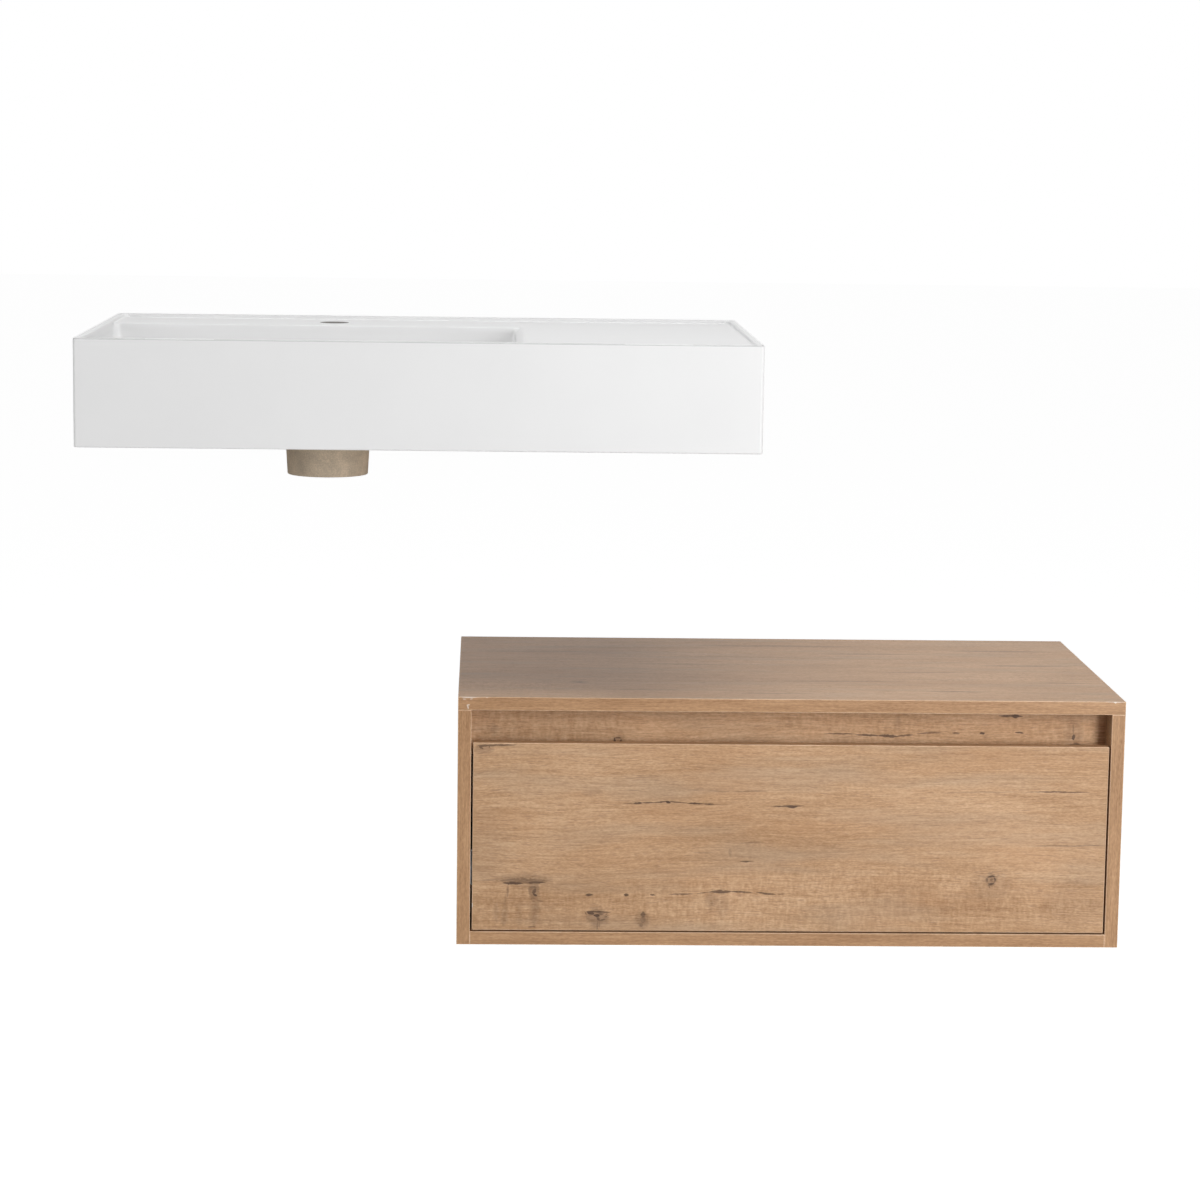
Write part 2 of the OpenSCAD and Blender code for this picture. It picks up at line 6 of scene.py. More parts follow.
import bmesh
import bpy
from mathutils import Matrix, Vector


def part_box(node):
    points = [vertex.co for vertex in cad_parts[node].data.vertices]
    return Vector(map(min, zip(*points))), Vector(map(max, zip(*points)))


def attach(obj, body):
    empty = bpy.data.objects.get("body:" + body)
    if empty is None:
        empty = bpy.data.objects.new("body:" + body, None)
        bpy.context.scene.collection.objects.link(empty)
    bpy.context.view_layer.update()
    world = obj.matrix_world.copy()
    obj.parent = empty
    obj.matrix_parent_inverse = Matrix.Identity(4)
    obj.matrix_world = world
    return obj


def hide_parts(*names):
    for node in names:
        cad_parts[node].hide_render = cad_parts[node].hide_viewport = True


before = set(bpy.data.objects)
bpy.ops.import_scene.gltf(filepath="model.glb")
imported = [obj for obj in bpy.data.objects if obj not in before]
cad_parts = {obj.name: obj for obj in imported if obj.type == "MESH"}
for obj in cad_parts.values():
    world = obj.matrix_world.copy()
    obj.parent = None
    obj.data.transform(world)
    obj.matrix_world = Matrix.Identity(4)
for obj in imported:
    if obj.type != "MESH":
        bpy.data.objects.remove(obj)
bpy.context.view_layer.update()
MM = 0.001

# ---- Washbasin: shape ----
# One casting of stone-filled resin with a white gel coat on every face that shows. The bowl, the tap deck,
# the rim and the dry tray are one skin of about 12 mm, open underneath, and the drain boss stands below it.

basin_low, basin_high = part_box("basin_shell")
basin_w = (basin_high.x - basin_low.x) / MM
basin_d = (basin_high.y - basin_low.y) / MM
basin_foot = -127
boss_foot = (basin_low.z - basin_high.z) / MM
basin_place = Vector((basin_low.x, basin_high.y, basin_high.z))
rim_w = 8
rim_drop = 5
cast_t = 12
corner_r, inner_corner_r, roll_corner_r = 4, 10, 4
bowl_back = -124
bowl_end = 513
bowl_floor = -98
drain_at = (282.6, -240)
tap_at = (282.6, -65)
wall_bolts = ((260, -75), (540, -75))
past = 3  # how far the tool that cuts a hollow stands out of the casting
bore_past = 2  # and the one that cuts a bore


def ring(left, right, front, back, radius, level):
    """A rounded rectangle seen from above, anticlockwise from its front right corner. The radius is one, or
    that of each corner. The level is one height, or the heights of its front, right, back and left side,
    which the corners blend."""
    steps, straight = 8, 10
    radii = radius if isinstance(radius, tuple) else (radius,) * 4
    heights = level if isinstance(level, tuple) else (level,) * 4
    corners = [(right, front, -1, 1), (right, back, -1, -1), (left, back, 1, -1), (left, front, 1, 1)]
    points = []
    for side, (x, y, inward_x, inward_y) in enumerate(corners):
        radius = radii[side]
        centre = (x + inward_x * radius, y + inward_y * radius)
        start, end = heights[side], heights[(side + 1) % 4]
        for step in range(steps + 1):
            share = step / steps
            angle = math.radians(90 * (side - 1 + share))
            height = start + (end - start) * share * share * (3 - 2 * share)
            points.append((centre[0] + radius * math.cos(angle), centre[1] + radius * math.sin(angle),
                           height))
    closed = []
    for index, point in enumerate(points):
        closed.append(point)
        if index % (steps + 1) == steps:
            following = points[(index + 1) % len(points)]
            closed += [tuple(Vector(point).lerp(Vector(following), n / straight)) for n in range(1, straight)]
    return closed


def circle(centre, radius, level):
    sides = 72
    turns = [2 * math.pi * n / sides for n in range(sides)]
    return [(centre[0] + radius * math.cos(t), centre[1] + radius * math.sin(t), level) for t in turns]


def put(name, data):
    """A new object in the scene, at the origin"""
    piece = bpy.data.objects.new(name, data)
    bpy.context.scene.collection.objects.link(piece)
    return piece


def loft(name, rings, place, material):
    """A closed solid through rings of points, in millimetres from a place, with the lowest ring first"""
    shape = bmesh.new()
    rows = [[shape.verts.new(place + Vector(point) * MM) for point in points] for points in rings]
    for low, high in zip(rows, rows[1:]):
        for n in range(len(low)):
            following = (n + 1) % len(low)
            shape.faces.new((low[n], low[following], high[following], high[n]))
    shape.faces.new(rows[0][::-1])
    shape.faces.new(rows[-1])
    bmesh.ops.recalc_face_normals(shape, faces=shape.faces)
    mesh = bpy.data.meshes.new(name)
    shape.to_mesh(mesh)
    shape.free()
    mesh.materials.append(material)
    return put(name, mesh)


def finished(piece):
    """Turns the piece's modifiers into its plain mesh"""
    made = bpy.data.meshes.new_from_object(piece.evaluated_get(bpy.context.evaluated_depsgraph_get()))
    piece.modifiers.clear()
    piece.data = made
    made.name = piece.name
    return piece


def join_cut(piece, tool, operation):
    """Adds the tool's solid to the piece or cuts it out, and keeps the tool's material on its faces"""
    step = piece.modifiers.new(operation, "BOOLEAN")
    step.operation = operation
    step.solver = "EXACT"
    step.material_mode = "TRANSFER"
    step.object = tool
    finished(piece)
    bpy.data.objects.remove(tool)


def smooth(piece, angle=32):
    """Rounds shade smooth and flats stay flat, with the large faces leading"""
    piece.data.polygons.foreach_set("use_smooth", [True] * len(piece.data.polygons))
    piece.data.set_sharp_from_angle(angle=math.radians(angle))
    normals = piece.modifiers.new("weighted", "WEIGHTED_NORMAL")
    normals.keep_sharp = True
    return finished(piece)


# ---- Washbasin: finish ----
# White gel coat, polished to a soft satin: an even white with a faint long-wave ripple from the mould.
# The underside and the boss are bare cast stone resin: taupe, matt, clouded and finely speckled.


def paint(code):
    """Linear colour of an sRGB hex code"""
    channels = [int(code[n:n + 2], 16) / 255 for n in (0, 2, 4)]
    return tuple(c / 12.92 if c <= 0.04045 else ((c + 0.055) / 1.055) ** 2.4 for c in channels) + (1.0,)


def add(tree, kind, inputs=None, stops=None, **settings):
    """Adds a node with its settings. Its inputs are given by name or number, each as a value, a socket, or a
    node whose first output in use is linked, and as a list of these where a socket takes many."""
    node = tree.nodes.new(kind)
    for name, value in settings.items():
        setattr(node, name, value)
    for name, value in (inputs or {}).items():
        for source in value if isinstance(value, list) else [value]:
            if isinstance(source, bpy.types.Node):
                source = next(output for output in source.outputs if output.enabled)
            if isinstance(source, bpy.types.NodeSocket):
                tree.links.new(source, node.inputs[name])
            else:
                node.inputs[name].default_value = source
    if stops:
        elements = node.color_ramp.elements
        while len(elements) < len(stops):
            elements.new(1)
        for element, (place, code) in zip(elements, stops):
            element.position = place
            element.color = paint(code)
    return node


def start_material(name):
    """An empty material with its tree, and the object's own place in millimetres"""
    material = bpy.data.materials.new(name)
    material.use_nodes = True
    tree = material.node_tree
    tree.nodes.clear()
    place = add(tree, "ShaderNodeTexCoord").outputs["Object"]
    return material, tree, add(tree, "ShaderNodeVectorMath", {0: place, "Scale": 1 / MM}, operation="SCALE")


def finish_material(tree, inputs):
    add(tree, "ShaderNodeOutputMaterial", {"Surface": add(tree, "ShaderNodeBsdfPrincipled", inputs)})


gel_coat, tree, place = start_material("white_gel_coat")
clouds = add(tree, "ShaderNodeTexNoise", {"Vector": place, "Scale": 1 / 90, "Detail": 2.0})
ripple = add(tree, "ShaderNodeTexNoise", {"Vector": place, "Scale": 1 / 60, "Detail": 1.0})
white = add(tree, "ShaderNodeMix", {0: clouds, 6: paint("EDEDED"), 7: paint("F1F1F1")}, data_type="RGBA")
satin = add(tree, "ShaderNodeMapRange", {0: clouds, 3: 0.34, 4: 0.44})
skin = add(tree, "ShaderNodeBump", {"Height": ripple, "Strength": 0.05, "Distance": 0.0005})
finish_material(tree, {"Base Color": white, "Roughness": satin, "Normal": skin, "Specular IOR Level": 0.4})

# Painted shade on the rim's outer arris and on its run along the wall: a greyer, duller gel coat that darkens
# them
for name, dark_grey, pale_grey in (
    ("arris_painted_shade_gel_coat", "C6C6C6", "D8D8D8"), ("back_rim_painted_shade_gel_coat", "DCDCDC", "E6E6E6"),
):
    tree, place = start_material(name)[1:]
    painted_shade_mottle = add(tree, "ShaderNodeTexNoise", {"Vector": place, "Scale": 1 / 35, "Detail": 3.0})
    grey = add(tree, "ShaderNodeMix", {0: painted_shade_mottle, 6: paint(dark_grey), 7: paint(pale_grey)}, data_type="RGBA")
    finish_material(tree, {"Base Color": grey, "Roughness": 0.55, "Specular IOR Level": 0.25})

bare_casting, tree, place = start_material("bare_stone_resin")
clouds = add(tree, "ShaderNodeTexNoise", {"Vector": place, "Scale": 1 / 22, "Detail": 4.0})
grit = add(tree, "ShaderNodeTexNoise", {"Vector": place, "Scale": 1 / 1.6, "Detail": 2.0})
taupe = add(tree, "ShaderNodeValToRGB", {0: clouds},
            stops=[(0.3, "BDAE9B"), (0.5, "CFBFA9"), (0.7, "E0CEB7")])
speck = add(tree, "ShaderNodeMapRange", {0: grit, 1: 0.35, 2: 0.7, 3: 0.86, 4: 1.08})
bare = add(tree, "ShaderNodeVectorMath", {0: taupe, "Scale": speck}, operation="SCALE")
pits = add(tree, "ShaderNodeBump", {"Height": grit, "Strength": 0.35, "Distance": 0.0005})
finish_material(tree, {"Base Color": bare, "Roughness": 0.85, "Normal": pits, "Specular IOR Level": 0.3})

# The drilled bores are a darker, finely broken grey: painted shade inside the holes
drilled, tree, place = start_material("bore_painted_shade_grey")
bore_shade_mottle = add(tree, "ShaderNodeTexNoise", {"Vector": place, "Scale": 1 / 0.9, "Detail": 3.0})
grey = add(tree, "ShaderNodeMix", {0: bore_shade_mottle, 6: paint("85837F"), 7: paint("A5A39E")}, data_type="RGBA")
finish_material(tree, {"Base Color": grey, "Roughness": 0.8, "Specular IOR Level": 0.3})

# ---- Washbasin: the casting ----
# The mould's draft, its eased arrises and its fillets: a thin raised rim, a roll between bowl and tray that
# is flattened like the real one, and a floor that falls to the drain seat.


def outline(inset, radius, level):
    return ring(inset, basin_w - inset, -basin_d + inset, -inset, radius, level)


def quarter(count):
    """Angles from 0 to 90 degrees"""
    return [math.radians(90 * n / count) for n in range(count + 1)]


foot_ease, top_ease, top_corner_r = 1.6, 1.8, 3.4
body_rings = [outline(foot_ease * (1 - math.sin(a)), corner_r, basin_foot + foot_ease * (1 - math.cos(a)))
              for a in quarter(4)]
body_rings += [outline(top_ease * (1 - math.cos(a)), top_corner_r, top_ease * (math.sin(a) - 1))
               for a in quarter(4)]
basin = loft("washbasin", body_rings, basin_place, gel_coat)

# Hollow underside, with the bowl's own body left standing in it
hollow_r, hollow_top = 8, -rim_drop - cast_t
foot_bevel_w, foot_bevel_h = 1.2, 2
hollow_rings = [outline(cast_t - foot_bevel_w, corner_r, basin_foot - past),
                outline(cast_t - foot_bevel_w, corner_r, basin_foot),
                outline(cast_t, corner_r, basin_foot + foot_bevel_h)]
hollow_rings += [outline(cast_t + hollow_r * (1 - math.cos(a)), hollow_r,
                         hollow_top + hollow_r * (math.sin(a) - 1)) for a in quarter(5)]
hollow = loft("hollow", hollow_rings, basin_place, bare_casting)

draft, floor_r = 6, 18
bowl_sides = (rim_w, bowl_end, -basin_d + rim_w, bowl_back)


def bowl_ring(inset, radius, level, grow=(0, 0, 0, 0)):
    """A ring of the bowl, drawn in by its draft and let out at its front, right, back and left side"""
    left, right, front, back = bowl_sides
    return ring(left + inset - grow[3], right - inset + grow[1], front + inset - grow[0],
                back - inset + grow[2], radius, level)


under_r, under_foot_corner_r, under_top_corner_r = floor_r + cast_t, 26, 22
bowl_under_rings = [bowl_ring(draft + floor_r - under_r * math.sin(a), under_foot_corner_r,
                              bowl_floor - cast_t + under_r * (1 - math.cos(a))) for a in quarter(6)]
bowl_under_rings.append(bowl_ring(-cast_t, under_top_corner_r, 0))
bowl_body = loft("bowl_body", bowl_under_rings, basin_place, bare_casting)
join_cut(hollow, bowl_body, "DIFFERENCE")
join_cut(basin, hollow, "DIFFERENCE")

# Recess of the tap deck and the tray, with the rim's inner arris
rim_ease, recess_r = 2.4, 1.8
recess_rings = [outline(rim_w + recess_r * (1 - math.sin(a)), inner_corner_r,
                        -rim_drop + recess_r * (1 - math.cos(a))) for a in quarter(4)]
recess_rings += [outline(rim_w - rim_ease * (1 - math.cos(a)), inner_corner_r, -rim_ease * (1 - math.sin(a)))
                 for a in quarter(5)]
recess_rings.append(outline(rim_w - rim_ease, inner_corner_r, past))
join_cut(basin, loft("recess", recess_rings, basin_place, gel_coat), "DIFFERENCE")

# The bowl: its floor, the fillet round it, the drafted walls, and the edge that rolls over to the tray
deck_ease, roll_w, roll_turn_r = 2.5, 11, 5
fall, fall_curve = 2, 1.5
floor_corner_r, wall_corner_more = 14, 4
floor_edge = bowl_ring(draft + floor_r, floor_corner_r, bowl_floor + fall)
bowl_rings = []
for share in (0.12, 0.4, 0.7):
    sink = bowl_floor + fall * share ** fall_curve
    bowl_rings.append([(drain_at[0] + (x - drain_at[0]) * share, drain_at[1] + (y - drain_at[1]) * share,
                        sink) for x, y, z in floor_edge])
bowl_rings.append(floor_edge)
bowl_rings += [bowl_ring(draft + floor_r * (1 - math.sin(a)), floor_corner_r + wall_corner_more * math.sin(a),
                         bowl_floor + fall + floor_r * (1 - math.cos(a))) for a in quarter(7)[1:]]
bowl_corners = (roll_corner_r, roll_corner_r, inner_corner_r, inner_corner_r)
rising = [(roll_turn_r * (1 - math.cos(a / 2)), roll_turn_r * math.sin(a / 2) - roll_w) for a in quarter(4)]
roll_profile = rising + [(-up, -out) for out, up in rising[::-1]]
for n, (out, up) in enumerate(roll_profile):
    share = n / (len(roll_profile) - 1)
    angle = math.radians(90 * share)
    by_rim = -rim_drop - roll_w + (roll_w + rim_drop - rim_ease) * share
    below_deck = (roll_w - deck_ease) * (1 - min(1, 3 * share))
    levels = (by_rim, -rim_drop + up, -rim_drop - deck_ease * (1 - math.sin(angle)) - below_deck, by_rim)
    bowl_rings.append(bowl_ring(0, bowl_corners, levels, (0, out, deck_ease * (1 - math.cos(angle)), 0)))
bowl_rings.append(bowl_ring(0, bowl_corners, past, (0, roll_w, deck_ease, 0)))
join_cut(basin, loft("bowl", bowl_rings, basin_place, gel_coat), "DIFFERENCE")

# The drain boss, and the bores for drain, tap and wall bolts with their eased edges
boss_r, boss_foot_r, boss_root_r, boss_ease = 52.35, 49.5, 53.35, 1.2
boss_root = 6  # its root ends this far below the bowl's floor, inside the bowl's wall
boss_rings = [circle(drain_at, boss_foot_r - boss_ease * (1 - math.sin(a)),
                     boss_foot + boss_ease * (1 - math.cos(a))) for a in quarter(4)]
boss_rings += [circle(drain_at, boss_r, basin_foot), circle(drain_at, boss_root_r, bowl_floor - boss_root)]
join_cut(basin, loft("boss", boss_rings, basin_place, bare_casting), "UNION")

bore_r, bore_ease = 22.5, 0.8
seat_r, seat_drop, seat_ease = 33, 3, 2
seat_flare = ((0.4, 0.2), (2, 1.5))
seat_level = bowl_floor - seat_drop
drain_rings = [circle(drain_at, bore_r, boss_foot - bore_past),
               circle(drain_at, bore_r, seat_level - bore_ease),
               circle(drain_at, bore_r + bore_ease, seat_level)]
drain_rings += [circle(drain_at, seat_r - seat_ease * (1 - math.sin(a)),
                       seat_level + seat_ease * (1 - math.cos(a))) for a in quarter(4)]
drain_rings += [circle(drain_at, seat_r + out, bowl_floor + up) for out, up in seat_flare]
join_cut(basin, loft("drain_bore", drain_rings, basin_place, gel_coat), "DIFFERENCE")

tap_r, tap_ease = 17.5, 1
tap_rings = [circle(tap_at, tap_r, hollow_top - bore_past), circle(tap_at, tap_r, -rim_drop - tap_ease)]
tap_rings += [circle(tap_at, tap_r + tap_ease * (1 - math.cos(a)), -rim_drop + tap_ease * (math.sin(a) - 1))
              for a in quarter(3)[1:]]
tap_rings.append(circle(tap_at, tap_r + tap_ease, bore_past))
join_cut(basin, loft("tap_bore", tap_rings, basin_place, drilled), "DIFFERENCE")
bolt_r = 9
for bolt_at in wall_bolts:
    bolt_rings = [[(x, depth, z) for x, z, level in circle(bolt_at, bolt_r, depth)]
                  for depth in (bore_past, -cast_t - bore_past)]
    join_cut(basin, loft("bolt_bore", bolt_rings, basin_place, drilled), "DIFFERENCE")

# Each face's finish: bare at the wall, and painted shade along the rim's run there and on the rim's outer
# arris
for name in ("arris_painted_shade_gel_coat", "back_rim_painted_shade_gel_coat"):
    basin.data.materials.append(bpy.data.materials[name])
finishes = [material.name for material in basin.data.materials]
for face in basin.data.polygons:
    from_top = (basin_high.z - face.center.z) / MM
    outward = face.center - Vector((basin_low.x + basin_high.x, basin_low.y + basin_high.y, 0)) / 2
    on_arris = abs(face.normal.z) < 0.97 and max(abs(face.normal.x), abs(face.normal.y)) < 0.99
    turned_out = face.normal.x * outward.x > -1e-9 and face.normal.y * outward.y > -1e-9
    by_wall = from_top < rim_drop and face.center.y > -(rim_w + 0.5) * MM
    if face.normal.y > 0.9 and face.center.y > -MM:
        face.material_index = finishes.index("bare_stone_resin")
    elif by_wall and (face.normal.z > 0.1 or face.normal.y < -0.5):
        face.material_index = finishes.index("back_rim_painted_shade_gel_coat")
    elif from_top < top_ease and on_arris and turned_out:
        face.material_index = finishes.index("arris_painted_shade_gel_coat")
smooth(basin)
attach(basin, "fixed_set")
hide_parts("basin_shell")

# ---- Oak decor ----
# Chipboard faced with melamine paper printed as knotty oak, pressed to a satin surface with fine pores. The
# print is warm mid brown with grey and orange drifts, fine lines and dashes along the grain, cross figure in
# places, and the cracks, knots and stains of the real sheet, each drawn as a few tapered strokes, with a few
# soft strokes of painted shade among them.


def new_tree(name, kind, inputs, outputs):
    """An empty node group with its sockets, and the node that gives its inputs"""
    tree = bpy.data.node_groups.new(name, kind)
    for in_out, sockets in (("INPUT", inputs), ("OUTPUT", outputs)):
        for label, socket in sockets.items():
            tree.interface.new_socket(label, in_out=in_out, socket_type="NodeSocket" + socket)
    return tree, add(tree, "NodeGroupInput")


oak, given = new_tree(
    "oak_decor", "ShaderNodeTree",
    {"Along grain": "Vector", "Mark": "Float", "Figure": "Float", "Lightness": "Float"},
    {"Color": "Color", "Height": "Float"},
)


def grain(tree, place, along, across, detail=2.0, shift=0):
    """Noise drawn out along the grain, with its features about that many millimetres long and wide"""
    scaled = add(tree, "ShaderNodeMapping", {0: place, 1: (shift, shift * 0.7, shift * 0.3),
                                             3: (1 / along, 1 / across, 1 / across)})
    return add(tree, "ShaderNodeTexNoise", {"Vector": scaled, "Scale": 1.0, "Detail": detail})


sway = add(oak, "ShaderNodeMath", {0: grain(oak, given, 300, 120, 1.0, 31), 1: 26.0}, operation="MULTIPLY")
lifted = add(oak, "ShaderNodeCombineXYZ", {1: sway})
waved = add(oak, "ShaderNodeVectorMath", {0: given, 1: lifted}, operation="ADD")
tone = -0.965  # minus half the weights' sum, so that the tone is about 0 on average
for along, across, detail, shift, weight in (
    (4, 1.3, 1.0, 7, 0.5), (28, 1.3, 2.0, 3, 0.5), (95, 2.4, 2.0, 11, 0.3), (230, 9, 2.0, 13, 0.22),
    (220, 80, 2.0, 5, 0.4),
):
    drift = grain(oak, waved, along, across, detail, shift)
    tone = add(oak, "ShaderNodeMath", {0: drift, 1: weight, 2: tone}, operation="MULTIPLY_ADD")
zone = add(oak, "ShaderNodeMapRange", {0: grain(oak, given, 160, 60, 1.0, 41), 1: 0.52, 2: 0.72, 4: 0.3})
figured = add(oak, "ShaderNodeMath", {0: zone, 1: given.outputs["Figure"]}, operation="MAXIMUM")
curtain = add(oak, "ShaderNodeMath", {0: grain(oak, waved, 9, 30, 2.0, 23), 1: 0.45, 2: -0.5},
              operation="MULTIPLY_ADD")
cross = add(oak, "ShaderNodeMath", {0: grain(oak, waved, 3.4, 9, 1.0, 61), 1: 0.55, 2: curtain},
            operation="MULTIPLY_ADD")
start = add(oak, "ShaderNodeMath", {0: tone, 1: 0.5}, operation="ADD")
tone = add(oak, "ShaderNodeMath", {0: cross, 1: figured, 2: start}, operation="MULTIPLY_ADD")
wood = add(oak, "ShaderNodeValToRGB", {0: tone},
           stops=[(0.15, "A47B59"), (0.4, "BE9670"), (0.55, "CEA681"), (0.7, "DBB590"), (0.9, "EBC9A5")])
grey_zone = add(oak, "ShaderNodeMapRange", {0: grain(oak, waved, 200, 30, 2.0, 53), 1: 0.5, 2: 0.72, 4: 0.3})
wood = add(oak, "ShaderNodeMix", {0: grey_zone, 6: wood, 7: paint("B3A18C")}, data_type="RGBA")
warm_zone = add(oak, "ShaderNodeMapRange", {0: grain(oak, waved, 180, 40, 2.0, 71), 1: 0.5, 2: 0.72, 4: 0.22})
wood = add(oak, "ShaderNodeMix", {0: warm_zone, 6: wood, 7: paint("CF9D72")}, data_type="RGBA")
pore = add(oak, "ShaderNodeMapRange", {0: grain(oak, waved, 11, 1.3, 1.0, 17), 1: 0.58, 2: 0.74, 4: 0.45})
wood = add(oak, "ShaderNodeMix", {0: pore, 6: wood, 7: paint("98745A")}, data_type="RGBA")
lit = add(oak, "ShaderNodeVectorMath", {0: wood, "Scale": given.outputs["Lightness"]}, operation="SCALE")
inked = add(oak, "ShaderNodeMix", {0: given.outputs["Mark"], 6: lit, 7: paint("41302A")}, data_type="RGBA")
height = add(oak, "ShaderNodeMath", {0: pore, 1: -1.1, 2: grain(oak, waved, 24, 1.5, 2.0, 3)},
             operation="MULTIPLY_ADD")
add(oak, "NodeGroupOutput", {0: inked, 1: height})

# One stroke of a mark: a tapered line, straight or bowed, with a hard or a soft edge. The place is passed
# from stroke to stroke with the darkest mark so far as its z, which keeps the shader small.
stroke_sizes = ("Half length", "Half width", "Turn", "Bow", "Strength", "Softness")
stroke, given = new_tree(
    "oak_stroke", "ShaderNodeTree",
    {"Place": "Vector", "Waver": "Float", "Uneven": "Float", "Centre": "Vector"}
    | dict.fromkeys(stroke_sizes, "Float"),
    {"Place": "Vector"},
)
local = add(stroke, "ShaderNodeVectorRotate",
            {0: given, 1: given.outputs["Centre"], 3: given.outputs["Turn"]},
            rotation_type="Z_AXIS", invert=True)
off = add(stroke, "ShaderNodeVectorMath", {0: local, 1: given.outputs["Centre"]}, operation="SUBTRACT")
at = add(stroke, "ShaderNodeSeparateXYZ", {0: off})
share = add(stroke, "ShaderNodeMath", {0: at, 1: given.outputs["Half length"]}, operation="DIVIDE")
squared = add(stroke, "ShaderNodeMath", {0: share, 1: share}, operation="MULTIPLY")
taper = add(stroke, "ShaderNodeMath", {0: 1.0, 1: squared}, operation="SUBTRACT", use_clamp=True)
width = add(stroke, "ShaderNodeMath", {0: taper, 1: given.outputs["Uneven"]}, operation="MULTIPLY")
half = add(stroke, "ShaderNodeMath", {0: width, 1: given.outputs["Half width"]}, operation="MULTIPLY")
line = add(stroke, "ShaderNodeMath", {0: taper, 1: given.outputs["Bow"], 2: given.outputs["Waver"]},
           operation="MULTIPLY_ADD")
aside = add(stroke, "ShaderNodeMath", {0: at.outputs[1], 1: line}, operation="SUBTRACT")
distance = add(stroke, "ShaderNodeMath", {0: aside}, operation="ABSOLUTE")
inside = add(stroke, "ShaderNodeMath", {0: half, 1: distance}, operation="SUBTRACT")
depth = add(stroke, "ShaderNodeMath", {0: inside, 1: given.outputs["Softness"]}, operation="DIVIDE")
shade = add(stroke, "ShaderNodeMapRange", {0: depth, 1: -1.0, 2: 1.0}, interpolation_type="SMOOTHSTEP")
faded = add(stroke, "ShaderNodeMath", {0: taper, 1: 5.0}, operation="MULTIPLY")
ended = add(stroke, "ShaderNodeMath", {0: faded, 1: given.outputs["Strength"]}, operation="MINIMUM")
dark = add(stroke, "ShaderNodeMath", {0: shade, 1: ended}, operation="MULTIPLY")
darkest = add(stroke, "ShaderNodeMath", {0: dark, 1: at.outputs[2]}, operation="MAXIMUM")
carried = add(stroke, "ShaderNodeCombineXYZ", {2: darkest})
onward = add(stroke, "ShaderNodeVectorMath", {0: given, 1: (1, 1, 0), 2: carried}, operation="MULTIPLY_ADD")
add(stroke, "NodeGroupOutput", {0: onward})


def strokes(tree, flat, marks):
    """The darkest of the marks at each place. A mark is the x and y of its middle, half its length and
    width, its turn in degrees, its bow, its strength, and the softness of its edge, in millimetres."""
    waver = add(tree, "ShaderNodeMath", {0: grain(tree, flat, 20, 300, 3.0), 1: 2.4, 2: -1.2},
                operation="MULTIPLY_ADD")
    uneven = add(tree, "ShaderNodeMath", {0: grain(tree, flat, 5, 2.2, 2.0, 9), 1: 2.6, 2: 0.05},
                 operation="MULTIPLY_ADD")
    onward = flat
    for x, y, half_length, half_width, turn, bow, strength, softness in marks:
        sizes = zip(stroke_sizes, (half_length, half_width, math.radians(turn), bow, strength, softness))
        onward = add(tree, "ShaderNodeGroup", {"Place": onward, "Waver": waver, "Uneven": uneven,
                                               "Centre": (x, y, 0)} | dict(sizes), node_tree=stroke)
    return add(tree, "ShaderNodeSeparateXYZ", {0: onward}).outputs[2]


# Bare chipboard: the pressed chips that show in the boards' uncovered edges and in their bored holes
chipboard, given = new_tree("chipboard_edge", "ShaderNodeTree", {"Place": "Vector"}, {"Color": "Color"})
bent = add(chipboard, "ShaderNodeTexNoise", {"Vector": given, "Scale": 1 / 1.4, "Detail": 2.0})
skewed = add(chipboard, "ShaderNodeVectorMath", {0: bent.outputs["Color"], 1: (2.2, 2.2, 2.2), 2: given},
             operation="MULTIPLY_ADD")
chips = add(chipboard, "ShaderNodeTexVoronoi", {"Vector": skewed, "Scale": 1 / 2.4})
chip_tone = add(chipboard, "ShaderNodeSeparateColor", {0: chips.outputs["Color"]})
chip_color = add(chipboard, "ShaderNodeValToRGB", {0: chip_tone},
                 stops=[(0.0, "9A7A55"), (0.35, "B8986E"), (0.7, "CDB088"), (1.0, "DCC49F")])
inner = add(chipboard, "ShaderNodeMapRange", {0: chips.outputs["Distance"], 1: 0.75, 2: 0.45})
board_edge = add(chipboard, "ShaderNodeMix", {0: inner, 6: paint("7A5D3E"), 7: chip_color}, data_type="RGBA")
add(chipboard, "NodeGroupOutput", {0: board_edge})


